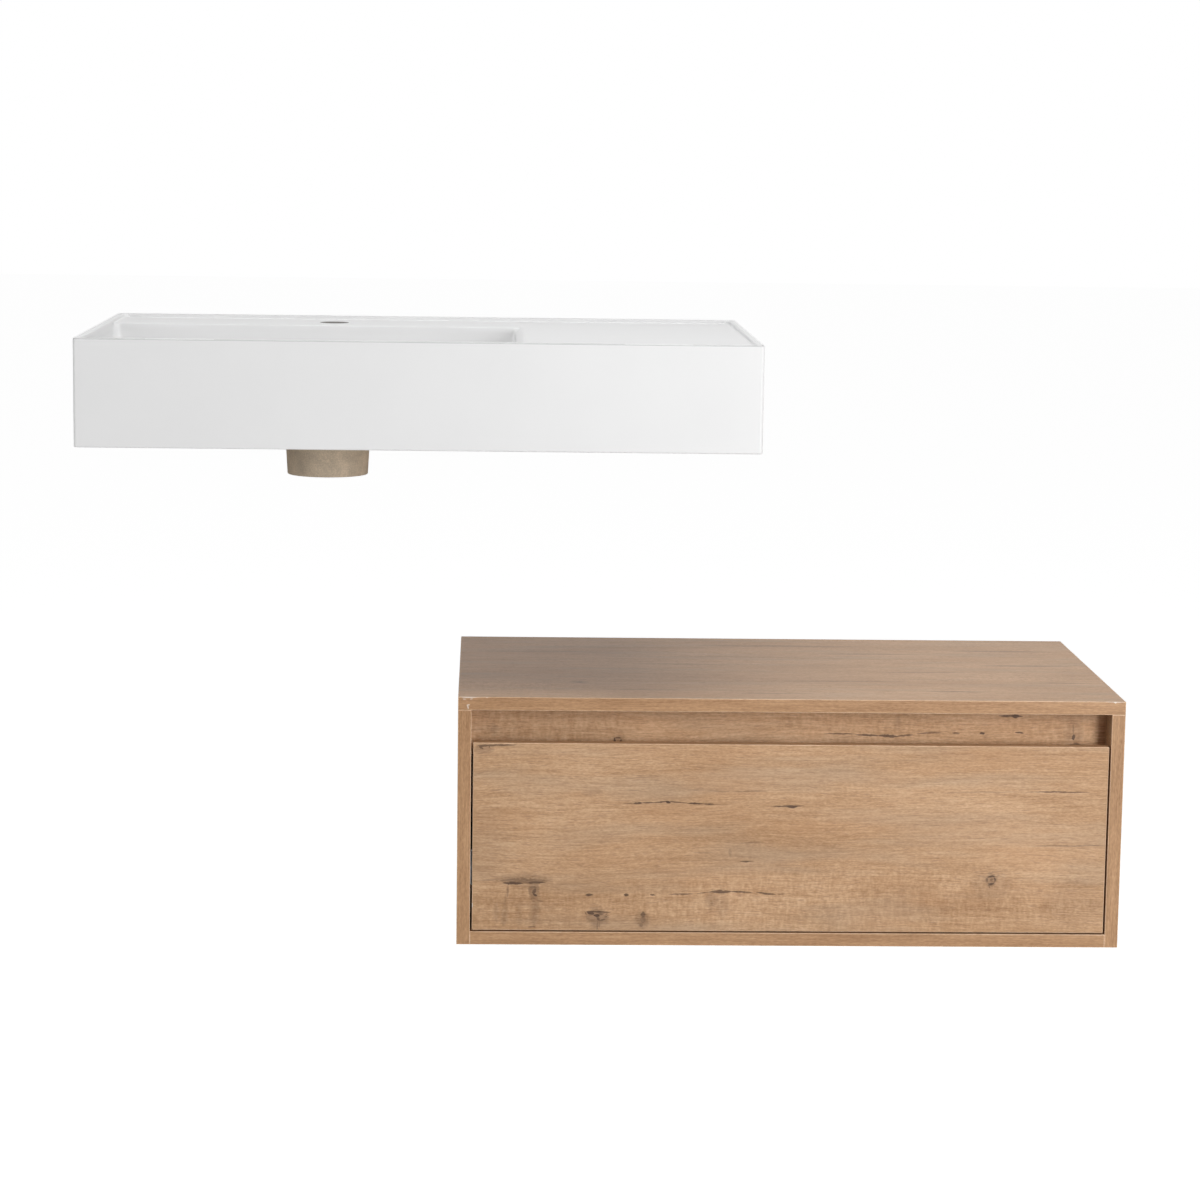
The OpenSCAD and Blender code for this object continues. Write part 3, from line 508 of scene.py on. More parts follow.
def oak_board(name, turn, shift, face_axis, lightness=1.0, marks=(), figure=(), plane="XZ", foiled=False):
    """The finish of one board. Turn brings its grain along X, shift picks its part of the print, and where
    the true normal leaves face_axis, as on raw edges and in holes, bare chipboard shows, but not on the top
    edge of a foiled board. Marks and patches of cross figure are strokes in the given plane."""
    material, tree, place = start_material(name)
    turned = add(tree, "ShaderNodeMapping", {0: place, 1: shift, 2: turn})
    decor = add(tree, "ShaderNodeGroup", {"Along grain": turned, "Lightness": lightness}, node_tree=oak)
    if marks:
        parts = add(tree, "ShaderNodeSeparateXYZ", {0: place})
        flat = add(tree, "ShaderNodeCombineXYZ", {0: parts.outputs[plane[0]], 1: parts.outputs[plane[1]]})
        tree.links.new(strokes(tree, flat, marks), decor.inputs["Mark"])
        tree.links.new(strokes(tree, flat, figure), decor.inputs["Figure"])
    chips = add(tree, "ShaderNodeGroup", {0: place}, node_tree=chipboard)
    geometry = add(tree, "ShaderNodeNewGeometry")
    normal = add(tree, "ShaderNodeSeparateXYZ", {0: geometry.outputs["True Normal"]})
    laid = add(tree, "ShaderNodeMath", {0: normal.outputs[face_axis]}, operation="ABSOLUTE")
    if foiled:
        laid = add(tree, "ShaderNodeMath", {0: laid, 1: normal.outputs["Z"]}, operation="MAXIMUM")
    laid = add(tree, "ShaderNodeMapRange", {0: laid, 1: 0.45, 2: 0.55})
    color = add(tree, "ShaderNodeMix", {0: laid, 6: chips, 7: decor}, data_type="RGBA")
    height = decor.outputs["Height"]
    sheen = add(tree, "ShaderNodeMapRange", {0: height, 3: 0.5, 4: 0.38})
    pores = add(tree, "ShaderNodeBump", {"Height": height, "Strength": 0.2, "Distance": 0.0003})
    finish_material(tree, {"Base Color": color, "Roughness": sheen, "Normal": pores,
                           "Specular IOR Level": 0.22})
    return material


def dress(node, *materials):
    """Gives a CAD node its materials"""
    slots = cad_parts[node].data.materials
    slots.clear()
    for material in materials:
        slots.append(material)


# ---- Cabinet ----
# Four boards with the top laid over the sides, a thin back let into grooves, and the pull rail set back
# behind the slot. Dowels and cam fittings hold them, so nothing but the print shows outside.

lying = (0, 0, 0)
flat_front = (math.radians(-90), 0, 0)
flat_side = (0, 0, math.radians(90))
# The figures of a mark are in the order that strokes() gives them
top_marks = [
    (-251, -350, 5, 2.2, 0, 0, 0.7, 1.5), (-251, -349, 13, 5, 0, 0, 0.23, 4),
    (205, -398, 40, 2.4, 0, 0, 0.4, 2), (318, -205, 60, 3, 0, 1, 0.38, 2.5),
    (120, -120, 70, 3.4, 1, 0, 0.3, 3), (60, -330, 90, 2.2, 1, 1, 0.3, 2),
    (-120, -210, 60, 2.4, -1, 0, 0.26, 2), (20, -60, 110, 5, 0, 0, 0.24, 4),
    (-20, -420, 50, 2.2, 0, 0, 0.26, 2), (300, -90, 70, 3.4, 0, 0, 0.32, 2.5),
    (340, -330, 40, 2.2, 0, 0, 0.34, 2), (180, -260, 60, 2.4, 1, 0, 0.28, 2),
    (-300, -120, 80, 4, 0, 0, 0.2, 4), (-180, -400, 50, 2.4, 0, 0, 0.22, 2.4),
    (-40, -150, 80, 3, -1, 0, 0.22, 3),
]
top_figure = [(-330, -380, 90, 30, 0, 0, 0.58, 20), (260, -300, 120, 20, 0, 0, 0.43, 15)]
# The top's print is darkened to 0.86: painted shade for the weaker light on its top face
dress("cabinet_top_panel", oak_board("oak_top", lying, (40, 320, 0), "Z", 0.86, top_marks, top_figure, "XY"))
dress("cabinet_bottom_panel", oak_board("oak_floor", lying, (900, 80, 0), "Z"))
# The right side's print is darkened to 0.78: painted shade for its inner face at the end of the slot
for node, shift, lightness in (
    ("cabinet_left_side", (200, 700, 0), 0.92), ("cabinet_right_side", (900, 400, 0), 0.78),
):
    dress(node, oak_board("oak_" + node, flat_side, shift, "X", lightness))
dress("cabinet_back_panel", oak_board("oak_back", flat_front, (500, 0, 900), "Y"))
# Most rail marks are print, but the long faint stroke along the rail's foot at (-61.9, -3.2) and the soft
# patch under the top at (342.5, 34.5) are painted shade
rail_marks = [
    (60.3, 11.7, 20, 0.7, -1.4, 0, 0.6, 0.35), (94.1, 10.1, 16, 0.9, -1.6, 0, 0.75, 0.35),
    (118.9, 9.3, 13, 1.4, -1.5, 0, 0.75, 0.4), (138.8, 10.1, 11, 0.9, 5, 0, 0.65, 0.35),
    (168.6, 13, 16, 0.8, 3, 0.4, 0.55, 0.35), (200.4, 13.4, 5, 0.7, 0, 0, 0.65, 0.35),
    (232.2, 13.4, 3.4, 1.2, 5, 0, 0.8, 0.4), (276.9, 14.3, 5.6, 0.9, -3.5, 0.4, 0.75, 0.35),
    (266, 34.7, 15.5, 1.0, -1, 0, 0.8, 0.5), (271.9, 34.5, 5.3, 1.5, 0, 0, 0.85, 0.5),
    (341.9, 19.1, 7, 0.8, -87, 0, 0.45, 0.6), (342.5, 9.4, 4, 1.6, -97, 0, 0.8, 0.6),
    (344.5, -0.1, 8, 1.8, 0, 0, 0.6, 1.5), (342.5, 15.6, 13, 12, 0, 0, 0.18, 9),
    (130.4, 24.6, 9, 3, -90, 0, 0.2, 4), (-209.5, 1.1, 4.5, 1.0, -83, 0, 0.8, 0.4),
    (-202.1, 0.1, 3.4, 1.0, -95, 0, 0.8, 0.4), (-205.8, 4.1, 4.4, 0.8, 0, 0.8, 0.75, 0.4),
    (-206, 0.7, 11, 7, 0, 0, 0.22, 5), (-354.1, 13.6, 12, 4, -87, 0, 0.23, 4),
    (-61.9, -3.2, 60, 3, 0, 0, 0.17, 4), (342.5, 34.5, 25, 5, 0, 0, 0.17, 5),
    (-330.2, 24.6, 150, 50, 0, 0, 0.1, 30),
]
rail_figure = [
    (-300.4, 19.6, 110, 40, 0, 0, 0.7, 15), (87.1, 24.6, 120, 30, 0, 0, 0.5, 15),
    (325.6, 24.6, 70, 30, 0, 0, 0.6, 15),
]
# The rail's print is a little lighter than the front's: painted light in its shaded slot
dress("finger_pull_rail",
      oak_board("oak_rail", flat_front, (300, 0, 150), "Y", 1.02, rail_marks, rail_figure))

# ---- Drawer front ----
# One inset board, its print matched to the photograph: three long cracks, a broken one low on the left, the
# knots there with their dark streaks running down, and a small ringed knot on the right.

front_marks = [
    # the long crack left of the middle
    (-193, -67.3, 8, 0.4, 0, 0, 0.55, 0.3), (-182.5, -66.8, 6, 1.0, 4.5, 0, 0.85, 0.35),
    (-168.8, -65.8, 10, 0.65, 2.3, 0, 0.8, 0.3), (-155, -64.8, 9, 0.6, 3.9, 0, 0.8, 0.3),
    (-146.7, -65.1, 3.6, 1.1, -17, 0, 0.9, 0.35), (-138.3, -64.8, 9, 0.55, -3, 0, 0.75, 0.3),
    (-127.6, -65.8, 8, 0.45, -4, 0, 0.6, 0.3), (-113.5, -66.5, 11, 0.8, 0, 0, 0.85, 0.3),
    (-98.4, -67, 8, 0.6, -3, 0, 0.8, 0.3), (-88.3, -67.3, 5, 0.3, 0, 0, 0.45, 0.3),
    # the short ones
    (-4, -69, 21, 0.75, 0.6, 0, 0.75, 0.35), (1.4, -69.8, 7, 1.3, 0, 0, 0.85, 0.4),
    (-51.8, -136.6, 9, 0.6, 1.8, 0, 0.75, 0.3), (319, -50, 40, 0.6, 0, 0.3, 0.7, 0.3),
    (-238.9, -179.1, 5.3, 1.0, -1, 0.3, 0.8, 0.35), (-194.6, -177.9, 3.3, 1.2, -6, 0, 0.8, 0.4),
    (-163, -177.9, 3.7, 0.7, -4, 0, 0.75, 0.35),
    # the broken one low down
    (-129.5, -177, 16, 0.6, 3, 0, 0.7, 0.35), (-102, -174.9, 9, 0.5, 6.7, 0, 0.6, 0.3),
    (-82.2, -174, 15, 1.1, 1.5, 0.8, 0.75, 0.4), (-81.5, -174.8, 12, 0.6, 1, 0, 0.8, 0.3),
    (-57.1, -174.2, 14.5, 0.7, -2.7, 0.3, 0.8, 0.3), (-27.7, -175.5, 13, 0.8, -5.4, 0, 0.75, 0.35),
    (-9.3, -176.3, 5, 0.6, 3.7, 0, 0.4, 0.4), (-92.3, -184, 9, 7, 0, 0, 0.23, 5),
    (-92.2, -188, 2, 1.5, 0, 0, 0.4, 1),
    # the crack in the top left corner, and a faint darker patch down the left edge
    (-351, 2.2, 25, 0.9, 1.2, 0, 0.7, 0.4), (-366, 1.7, 9, 1.0, 1, 0, 0.75, 0.4),
    (-369, -0.7, 3.6, 1.0, -37, 0, 0.7, 0.5), (-359.6, 0.3, 1.8, 0.7, -70, 0, 0.6, 0.5),
    (-366, -3, 13, 4, 0, 0, 0.29, 4), (-362, -118, 48, 20, 90, 0, 0.13, 18),
    # the barred knot and its two drips
    (-355.6, -161.7, 16, 0.8, 0, 0.5, 0.35, 0.8), (-330, -164.6, 13, 1.4, 1, 0, 0.85, 0.5),
    (-303, -163.8, 13, 1.1, 1, 0, 0.8, 0.5), (-317.6, -162, 30, 2.6, 0, 1, 0.58, 1.8),
    (-336.3, -174.5, 8, 0.9, -92, 0, 0.42, 1.2), (-339.2, -186, 8, 0.8, -96, 0, 0.24, 1.2),
    (-305.5, -169.8, 5, 1.3, -8, 0, 0.6, 0.8), (-304.5, -175, 4.5, 1.5, -107, 0, 0.75, 0.7),
    (-303.6, -179, 3, 1.2, -34, 0, 0.85, 0.5), (-299.3, -185.7, 6.5, 0.9, -12, 0, 0.4, 0.8),
    (-305, -172, 7, 12, 0, 0, 0.36, 5), (-318, -160, 36, 5, 0, 0, 0.29, 5),
    (-303, -196, 22, 3.5, -95, 0, 0.29, 4), (-340, -204, 14, 3, -93, 0, 0.23, 3),
    (-350, -200, 12, 2.5, -90, 0, 0.2, 3), (-322, -205, 16, 2, -90, 0, 0.14, 3),
    # the knot below its right, with a bar, two cores, a hook and drips
    (-227.4, -199.6, 15.5, 0.8, -1.8, 0, 0.85, 0.35), (-237.2, -201, 5.4, 1.6, -15, 0, 0.85, 0.6),
    (-229.7, -204.3, 4.2, 1.5, -5, 0, 0.9, 0.5), (-224.4, -202.1, 4, 0.9, 4, 0, 0.7, 0.4),
    (-218.7, -204.6, 2.6, 0.6, 20, -0.9, 0.7, 0.4), (-217.6, -202.6, 2, 0.6, 40, 0.6, 0.6, 0.4),
    (-228.3, -207.7, 4, 1.1, -49, 0, 0.75, 0.5), (-222.6, -209.2, 3.8, 0.8, 14, 0, 0.7, 0.4),
    (-229, -215.5, 6.5, 1.1, -93, 0, 0.5, 0.8), (-226.6, -214.5, 4.5, 0.8, -88, 0, 0.45, 0.6),
    (-243.1, -200.8, 2.6, 0.6, -60, 0, 0.5, 0.4), (-229, -206, 14, 9, 0, 0, 0.38, 6),
    # the soft knot next to it, and the small ring on the edge
    (-174.4, -202.7, 3.4, 2.4, 0, 0, 0.7, 1.2), (-174.4, -208, 6, 2.8, -95, 0, 0.51, 2),
    (-176.2, -215, 3, 1.6, -76, 0, 0.5, 1), (-175, -209, 11, 6, -90, 0, 0.32, 5),
    (-306.9, -218.4, 5, 0.7, 0, 0.8, 0.55, 0.5), (-306.9, -221.2, 5, 0.7, 0, -0.6, 0.55, 0.5),
    # the ringed knot on the right
    (242.3, -154.2, 5.0, 1.0, 4, 1.6, 0.85, 0.4), (242.1, -160.6, 4.8, 1.0, 10, -1.6, 0.85, 0.4),
    (238, -157.4, 3.2, 0.8, -88, -0.6, 0.7, 0.4), (246.3, -157.3, 3.0, 0.9, -84, 0.8, 0.8, 0.4),
    (242.6, -157.2, 1.9, 1.4, -25, 0, 0.6, 0.6), (240.2, -165.2, 2.8, 0.7, -70, 0, 0.55, 0.5),
    (249.9, -152.3, 3.2, 0.6, 12, 0, 0.45, 0.4), (231.5, -153.4, 8, 0.8, -10, 0, 0.3, 0.8),
    (242, -157.3, 8, 7, 0, 0, 0.4, 4), (243, -162, 26, 12, 0, 0, 0.14, 10),
    # thin grey lines and drifts of the print
    (336, -115.2, 52, 0.6, 0.8, 0, 0.4, 0.5), (-113, -50, 11, 0.5, 1, 0, 0.28, 0.5),
    (-88, -51.5, 15, 0.6, -2, 0, 0.3, 0.6), (-48, -51.2, 22, 0.7, 2, 0, 0.34, 0.6),
    (-103, -125.8, 14, 0.6, 1, 0, 0.28, 0.6), (-47, -113.7, 15, 0.8, 4, 0, 0.28, 0.8),
    (-71.7, -126.4, 6, 1.2, -86, 0, 0.22, 1), (-237, -54, 13, 3, 1, 0, 0.18, 3),
    (-188.9, -51.3, 11, 0.5, -1, 0, 0.28, 0.5), (230, -51, 52, 0.6, 1, 0.5, 0.22, 0.6),
    (343, -185, 38, 22, 0, 0, 0.1, 14), (-80, -190, 9, 12, 0, 0, 0.14, 8),
]
front_figure = [(-320, -205, 90, 34, 0, 0, 0.6, 12), (60, -188, 330, 34, 0, 3, 0.7, 12)]
dress("drawer_front", oak_board("oak_front", flat_front, (0, 0, 400), "Y", 0.9, front_marks, front_figure))
for node, turn, shift, axis in (
    ("drawer_inner_front", flat_front, (700, 0, 300), "Y"), ("drawer_back", flat_front, (100, 0, 600), "Y"),
    ("drawer_bottom", lying, (400, 900, 0), "Z"), ("drawer_left_side", flat_side, (50, 100, 0), "X"),
    ("drawer_right_side", flat_side, (600, 500, 0), "X"),
):
    dress(node, oak_board("oak_" + node, turn, shift, axis, foiled=True))

# ---- Edge bands ----
# Strips of oak-printed plastic, 1 mm thick, glued over the boards' edges. Their print is plainer and more
# orange than the boards', in fine streaks along each strip, and their scraped arrises show a paler core.

band_t, scraped_r = 1, 0.7
band_tones = ("97704D", "AD8560", "BA916B", "CFA983")
core_tones = ("D0AB88", "DDBB99", "E5C6A7", "EFD6B9")
# Small bare chips and faint pale lines along the photographed piece's arrises, drawn as the marks of the
# boards are
top_chips = [
    (-383.5, 59.7, 8.9, 0.6, 0.4, 0, 0.6, 0.4), (-389.4, 57.6, 2.2, 0.5, -5.4, 0, 0.5, 0.5),
    (-381.1, 57.7, 2.0, 0.5, 6.2, 0, 0.4, 0.5), (-384.9, 50.5, 2.1, 0.5, 5.4, 0, 0.6, 0.4),
    (-385.8, 48.0, 3.0, 0.6, -70, 0.7, 0.65, 0.4), (-362.9, 59.9, 1.4, 0.6, 0.4, 0, 0.5, 0.4),
    (383.9, 59.3, 2.0, 0.8, 0.4, 0, 0.8, 0.4), (383, 59.6, 12, 0.5, 0, 0, 0.4, 0.5),
    (-388, 61, 30, 1.2, 0, 0, 0.25, 1.0),
]
front_chips = [(-378.8, -191.7, 3.0, 1.2, -80, 0, 0.8, 0.4)]
chip_depth = (-458.0, -459.0)  # they show only in front of this


def edge_band_finish(name, turn, tones, chips=()):
    """A band's print, or its core, with its streaks brought along X by the turn"""
    material, tree, place = start_material(name)
    along = add(tree, "ShaderNodeMapping", {0: place, 2: turn})
    tone = -0.33
    for length, width, detail, shift, weight in (
        (46, 1.3, 2.0, 0, 0.65), (130, 7, 1.0, 29, 0.4), (5, 1.4, 1.0, 37, 0.5),
    ):
        streak = grain(tree, along, length, width, detail, shift)
        tone = add(tree, "ShaderNodeMath", {0: streak, 1: weight, 2: tone}, operation="MULTIPLY_ADD")
    color = add(tree, "ShaderNodeValToRGB", {0: tone}, stops=list(zip((0.2, 0.42, 0.58, 0.85), tones)))
    dash = grain(tree, along, 9, 1.0, 1.0, 13)
    dashed = add(tree, "ShaderNodeMapRange", {0: dash, 1: 0.56, 2: 0.7, 4: 0.4})
    color = add(tree, "ShaderNodeMix", {0: dashed, 6: color, 7: paint("8C6448")}, data_type="RGBA")
    if chips:
        parts = add(tree, "ShaderNodeSeparateXYZ", {0: place})
        flat = add(tree, "ShaderNodeCombineXYZ", {0: parts.outputs["X"], 1: parts.outputs["Z"]})
        in_front = add(tree, "ShaderNodeMapRange",
                       {0: parts.outputs["Y"], 1: chip_depth[0], 2: chip_depth[1]})
        bared = add(tree, "ShaderNodeMath", {0: strokes(tree, flat, chips), 1: in_front},
                    operation="MULTIPLY")
        color = add(tree, "ShaderNodeMix", {0: bared, 6: color, 7: paint("F2EAE0")}, data_type="RGBA")
    relief = add(tree, "ShaderNodeBump", {"Height": dash, "Strength": 0.15, "Distance": 0.0002})
    finish_material(tree, {"Base Color": color, "Roughness": 0.46, "Normal": relief,
                           "Specular IOR Level": 0.35})
    return material


def edge_bands(name, node, body, strips, chips=()):
    """One piece made of strips of a node's box. Each strip is the box's side it lies on, its run, and how
    much shorter it is at its low and high ends, so that it butts against its neighbours."""
    low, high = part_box(node)
    shape = bmesh.new()
    mesh = bpy.data.meshes.new(name)
    mesh.materials.append(edge_band_finish(name + "_core", lying, core_tones, chips))
    turns = {"X": lying, "Y": flat_side, "Z": (0, math.radians(90), 0)}
    runs = []
    for side, run, cuts in strips:
        axis, outward = "XYZ".index(side[1]), side[0] == "+"
        start, end = low.copy(), high.copy()
        if outward:
            start[axis] = high[axis] - band_t * MM
        else:
            end[axis] = low[axis] + band_t * MM
        for place, cut_low, cut_high in cuts:
            start[place] += cut_low * MM
            end[place] -= cut_high * MM
        if run not in runs:
            runs.append(run)
            mesh.materials.append(edge_band_finish(name + "_print_" + run, turns[run], band_tones, chips))
        corners = bmesh.ops.create_cube(shape, size=1)["verts"]
        for corner in corners:
            corner.co = Vector(start[n] + (corner.co[n] + 0.5) * (end[n] - start[n]) for n in range(3))
            for face in corner.link_faces:
                face.material_index = runs.index(run) + 1
        face_at = end[axis] if outward else start[axis]
        outer_corners = [corner for corner in corners if abs(corner.co[axis] - face_at) < 1e-7]
        outer = [edge for edge in shape.edges if all(corner in outer_corners for corner in edge.verts)]
        bmesh.ops.bevel(shape, geom=outer, offset=scraped_r * MM, segments=3, profile=0.5,
                        affect="EDGES", material=0)
    shape.to_mesh(mesh)
    shape.free()
    piece = put(name, mesh)
    smooth(piece, 50)
    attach(piece, body)
    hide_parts(node)


behind_front = [(1, band_t, 0)]
edge_bands("top_edge_bands", "cabinet_top_bands", "fixed_set",
           [("-Y", "X", []), ("-X", "Y", behind_front), ("+X", "Y", behind_front)], top_chips)
edge_bands("left_edge_bands", "cabinet_left_bands", "fixed_set",
           [("-Y", "Z", []), ("-Z", "Y", behind_front)])
edge_bands("right_edge_bands", "cabinet_right_bands", "fixed_set",
           [("-Y", "Z", []), ("-Z", "Y", behind_front)])
edge_bands("floor_edge_band", "cabinet_bottom_band", "fixed_set", [("-Y", "X", [])])
edge_bands("rail_edge_band", "finger_pull_rail_band", "fixed_set", [("-Z", "X", [])])
between = [(2, band_t, band_t)]
edge_bands("front_edge_bands", "drawer_front_bands", "drawer",
           [("+Z", "X", []), ("-Z", "X", []), ("-X", "Z", between), ("+X", "Z", between)], front_chips)

# ---- Cabinet: dowels and cam fittings ----
# Turned beech dowels hold the joints in line, and die-cast zinc cams in bored pockets pull zinc-plated bolts
# tight. The cams show their crossed faces inside the cabinet.

beech, tree, place = start_material("turned_beech")
drift = add(tree, "ShaderNodeTexNoise", {"Vector": place, "Scale": 1 / 14, "Detail": 3.0})
flecks = add(tree, "ShaderNodeTexVoronoi", {"Vector": place, "Scale": 1 / 1.6})
fleck = add(tree, "ShaderNodeMapRange", {0: flecks, 1: 0.12, 2: 0.3, 3: 0.4, 4: 0.0})
pale = add(tree, "ShaderNodeValToRGB", {0: drift},
           stops=[(0.3, "C79D6E"), (0.5, "D9B48A"), (0.7, "E4C49D")])
flecked = add(tree, "ShaderNodeMix", {0: fleck, 6: pale, 7: paint("A97C52")}, data_type="RGBA")
turned = add(tree, "ShaderNodeBump", {"Height": drift, "Strength": 0.15, "Distance": 0.0004})
finish_material(tree, {"Base Color": flecked, "Roughness": 0.6, "Normal": turned})

# Zinc-plated steel: bright blue-grey metal with the faint streaks of the rolled strip and cloudy plating
plated, tree, place = start_material("zinc_plated_steel")
rolled = add(tree, "ShaderNodeMapping", {0: place, 3: (1 / 0.8, 1 / 45, 1 / 0.8)})
streaks = add(tree, "ShaderNodeTexNoise", {"Vector": rolled, "Scale": 1.0, "Detail": 3.0})
clouds = add(tree, "ShaderNodeTexNoise", {"Vector": place, "Scale": 1 / 9, "Detail": 3.0})
both = add(tree, "ShaderNodeMath", {0: streaks, 1: 0.5, 2: clouds}, operation="MULTIPLY_ADD")
tint = add(tree, "ShaderNodeValToRGB", {0: both},
           stops=[(0.55, "B4B9BD"), (0.75, "C6CACD"), (0.95, "D6D8D8")])
satin = add(tree, "ShaderNodeMapRange", {0: both, 1: 0.5, 2: 1.0, 3: 0.42, 4: 0.28})
scratches = add(tree, "ShaderNodeBump", {"Height": streaks, "Strength": 0.12, "Distance": 0.0002})
finish_material(tree, {"Base Color": tint, "Metallic": 1.0, "Roughness": satin, "Normal": scratches})

# Die-cast zinc: duller and greyer, tumbled to a fine even roughness
die_cast, tree, place = start_material("die_cast_zinc")
tumbled = add(tree, "ShaderNodeTexNoise", {"Vector": place, "Scale": 1 / 0.9, "Detail": 3.0})
tint = add(tree, "ShaderNodeValToRGB", {0: tumbled},
           stops=[(0.3, "8E9194"), (0.5, "A6A9AB"), (0.7, "B9BBBC")])
rough = add(tree, "ShaderNodeMapRange", {0: tumbled, 1: 0.3, 2: 0.7, 3: 0.6, 4: 0.42})
dents = add(tree, "ShaderNodeBump", {"Height": tumbled, "Strength": 0.3, "Distance": 0.0002})
finish_material(tree, {"Base Color": tint, "Metallic": 1.0, "Roughness": rough, "Normal": dents})


def ease_edges(piece, radius, angle, segments=2):
    """Rounds the edges that turn by more than the angle"""
    rounding = piece.modifiers.new("eased", "BEVEL")
    rounding.width = radius * MM
    rounding.segments = segments
    rounding.limit_method = "ANGLE"
    rounding.angle_limit = math.radians(angle)
    finished(piece)


def eased(name, node, body, material, radius, segments=2):
    """A copy of a CAD node, its loose triangles merged and its edges rounded, which stands for the node"""
    shape = bmesh.new()
    shape.from_mesh(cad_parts[node].data)
    bmesh.ops.remove_doubles(shape, verts=shape.verts, dist=0.01 * MM)
    bmesh.ops.dissolve_limit(shape, angle_limit=math.radians(0.5), verts=shape.verts, edges=shape.edges)
    mesh = bpy.data.meshes.new(name)
    shape.to_mesh(mesh)
    shape.free()
    mesh.materials.append(material)
    piece = put(name, mesh)
    ease_edges(piece, radius, 40, segments)
    smooth(piece)
    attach(piece, body)
    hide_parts(node)


dress("cabinet_dowels", beech)
dress("cam_bolts", plated)
eased("cam_discs", "cam_locks", "fixed_set", die_cast, 0.25)

# ---- Wall hangers ----
# A folded steel plate on the wall takes the hook of each corner. The hook slides in a moulded grey housing,
# and two yellow passivated screws in its face move it up and in. Pan-head screws hold the housing.

grey_plastic, tree, place = start_material("moulded_grey_plastic")
spark = add(tree, "ShaderNodeTexNoise", {"Vector": place, "Scale": 1 / 0.6, "Detail": 2.0})
flow = add(tree, "ShaderNodeTexNoise", {"Vector": place, "Scale": 1 / 16, "Detail": 2.0})
tint = add(tree, "ShaderNodeMix", {0: flow, 6: paint("676B70"), 7: paint("757A7F")}, data_type="RGBA")
rough = add(tree, "ShaderNodeMapRange", {0: spark, 1: 0.3, 2: 0.7, 3: 0.48, 4: 0.62})
grained = add(tree, "ShaderNodeBump", {"Height": spark, "Strength": 0.25, "Distance": 0.0001})
finish_material(tree, {"Base Color": tint, "Roughness": rough, "Normal": grained, "Specular IOR Level": 0.4})

# Yellow passivated zinc: a brassy metal with pink and green drifts in the film
yellow_zinc, tree, place = start_material("yellow_passivated_zinc")
film = add(tree, "ShaderNodeTexNoise", {"Vector": place, "Scale": 1 / 3.5, "Detail": 2.0})
tint = add(tree, "ShaderNodeValToRGB", {0: film},
           stops=[(0.3, "B9A45A"), (0.45, "D8BC6C"), (0.58, "DDB07C"), (0.72, "B9BE84")])
rough = add(tree, "ShaderNodeMapRange", {0: film, 1: 0.3, 2: 0.7, 3: 0.25, 4: 0.36})
finish_material(tree, {"Base Color": tint, "Metallic": 1.0, "Roughness": rough})

# One screw, turned about Z with its head up: a dome, a flat underside, a shank and a point, with a cross
# sunk in its head. The tree sets one on each point, along the point's aim, each cross at its own angle.
screw_sizes = ("Head diameter", "Head height", "Shank diameter", "Length", "Cross length", "Cross width",
               "Cross depth")
screws, given = new_tree(
    "cross_head_screws", "GeometryNodeTree",
    {"Geometry": "Geometry"} | dict.fromkeys(screw_sizes, "Float") | {"Seed": "Int", "Material": "Material"},
    {"Geometry": "Geometry"},
)
screws.is_modifier = True
head_r = add(screws, "ShaderNodeMath", {0: given.outputs["Head diameter"], 1: 0.5}, operation="MULTIPLY")
shank_r = add(screws, "ShaderNodeMath", {0: given.outputs["Shank diameter"], 1: 0.5}, operation="MULTIPLY")
above = add(screws, "ShaderNodeMath", {0: given.outputs["Head height"], 1: -1.0}, operation="MULTIPLY")
low = add(screws, "ShaderNodeMath", {0: given.outputs["Length"], 1: given.outputs["Shank diameter"]},
          operation="SUBTRACT")
crown = add(screws, "ShaderNodeCombineXYZ", {1: above})
corner = add(screws, "ShaderNodeCombineXYZ", {0: head_r, 1: above})
rim = add(screws, "ShaderNodeCombineXYZ", {0: head_r})
neck = add(screws, "ShaderNodeCombineXYZ", {0: shank_r})
shoulder = add(screws, "ShaderNodeCombineXYZ", {0: shank_r, 1: low})
tip = add(screws, "ShaderNodeCombineXYZ", {1: given.outputs["Length"]})
# The outline runs one way all along, from the tip to the crown, or else the screw is partly inside out
dome = add(screws, "GeometryNodeCurveQuadraticBezier",
           {"Resolution": 7, "Start": rim, "Middle": corner, "End": crown})
lines = [add(screws, "GeometryNodeCurvePrimitiveLine", {"Start": start, "End": end})
         for start, end in ((tip, shoulder), (shoulder, neck), (neck, rim))]
profile = add(screws, "GeometryNodeJoinGeometry", {0: lines + [dome]})
axis = add(screws, "GeometryNodeCurvePrimitiveCircle", {"Resolution": 28, "Radius": 0.000001})
swept = add(screws, "GeometryNodeCurveToMesh", {"Curve": axis, "Profile Curve": profile})
closed = add(screws, "GeometryNodeMergeByDistance", {"Geometry": swept, "Distance": 0.00001})
sunk = add(screws, "ShaderNodeMath", {0: given.outputs["Cross depth"], 1: 2.0}, operation="MULTIPLY")
arm = add(screws, "ShaderNodeCombineXYZ",
          {0: given.outputs["Cross length"], 1: given.outputs["Cross width"], 2: sunk})
at_crown = add(screws, "ShaderNodeCombineXYZ", {2: given.outputs["Head height"]})
bars = add(screws, "GeometryNodeMeshCube", {"Size": arm})
first = add(screws, "GeometryNodeTransform", {"Geometry": bars, "Translation": at_crown})
second = add(screws, "GeometryNodeTransform",
             {"Geometry": bars, "Translation": at_crown, "Rotation": (0, 0, math.pi / 2)})
screw = add(screws, "GeometryNodeMeshBoolean", {"Mesh 1": closed, "Mesh 2": [first, second]},
            operation="DIFFERENCE", solver="EXACT")
aim = add(screws, "GeometryNodeInputNamedAttribute", {"Name": "aim"}, data_type="FLOAT_VECTOR")
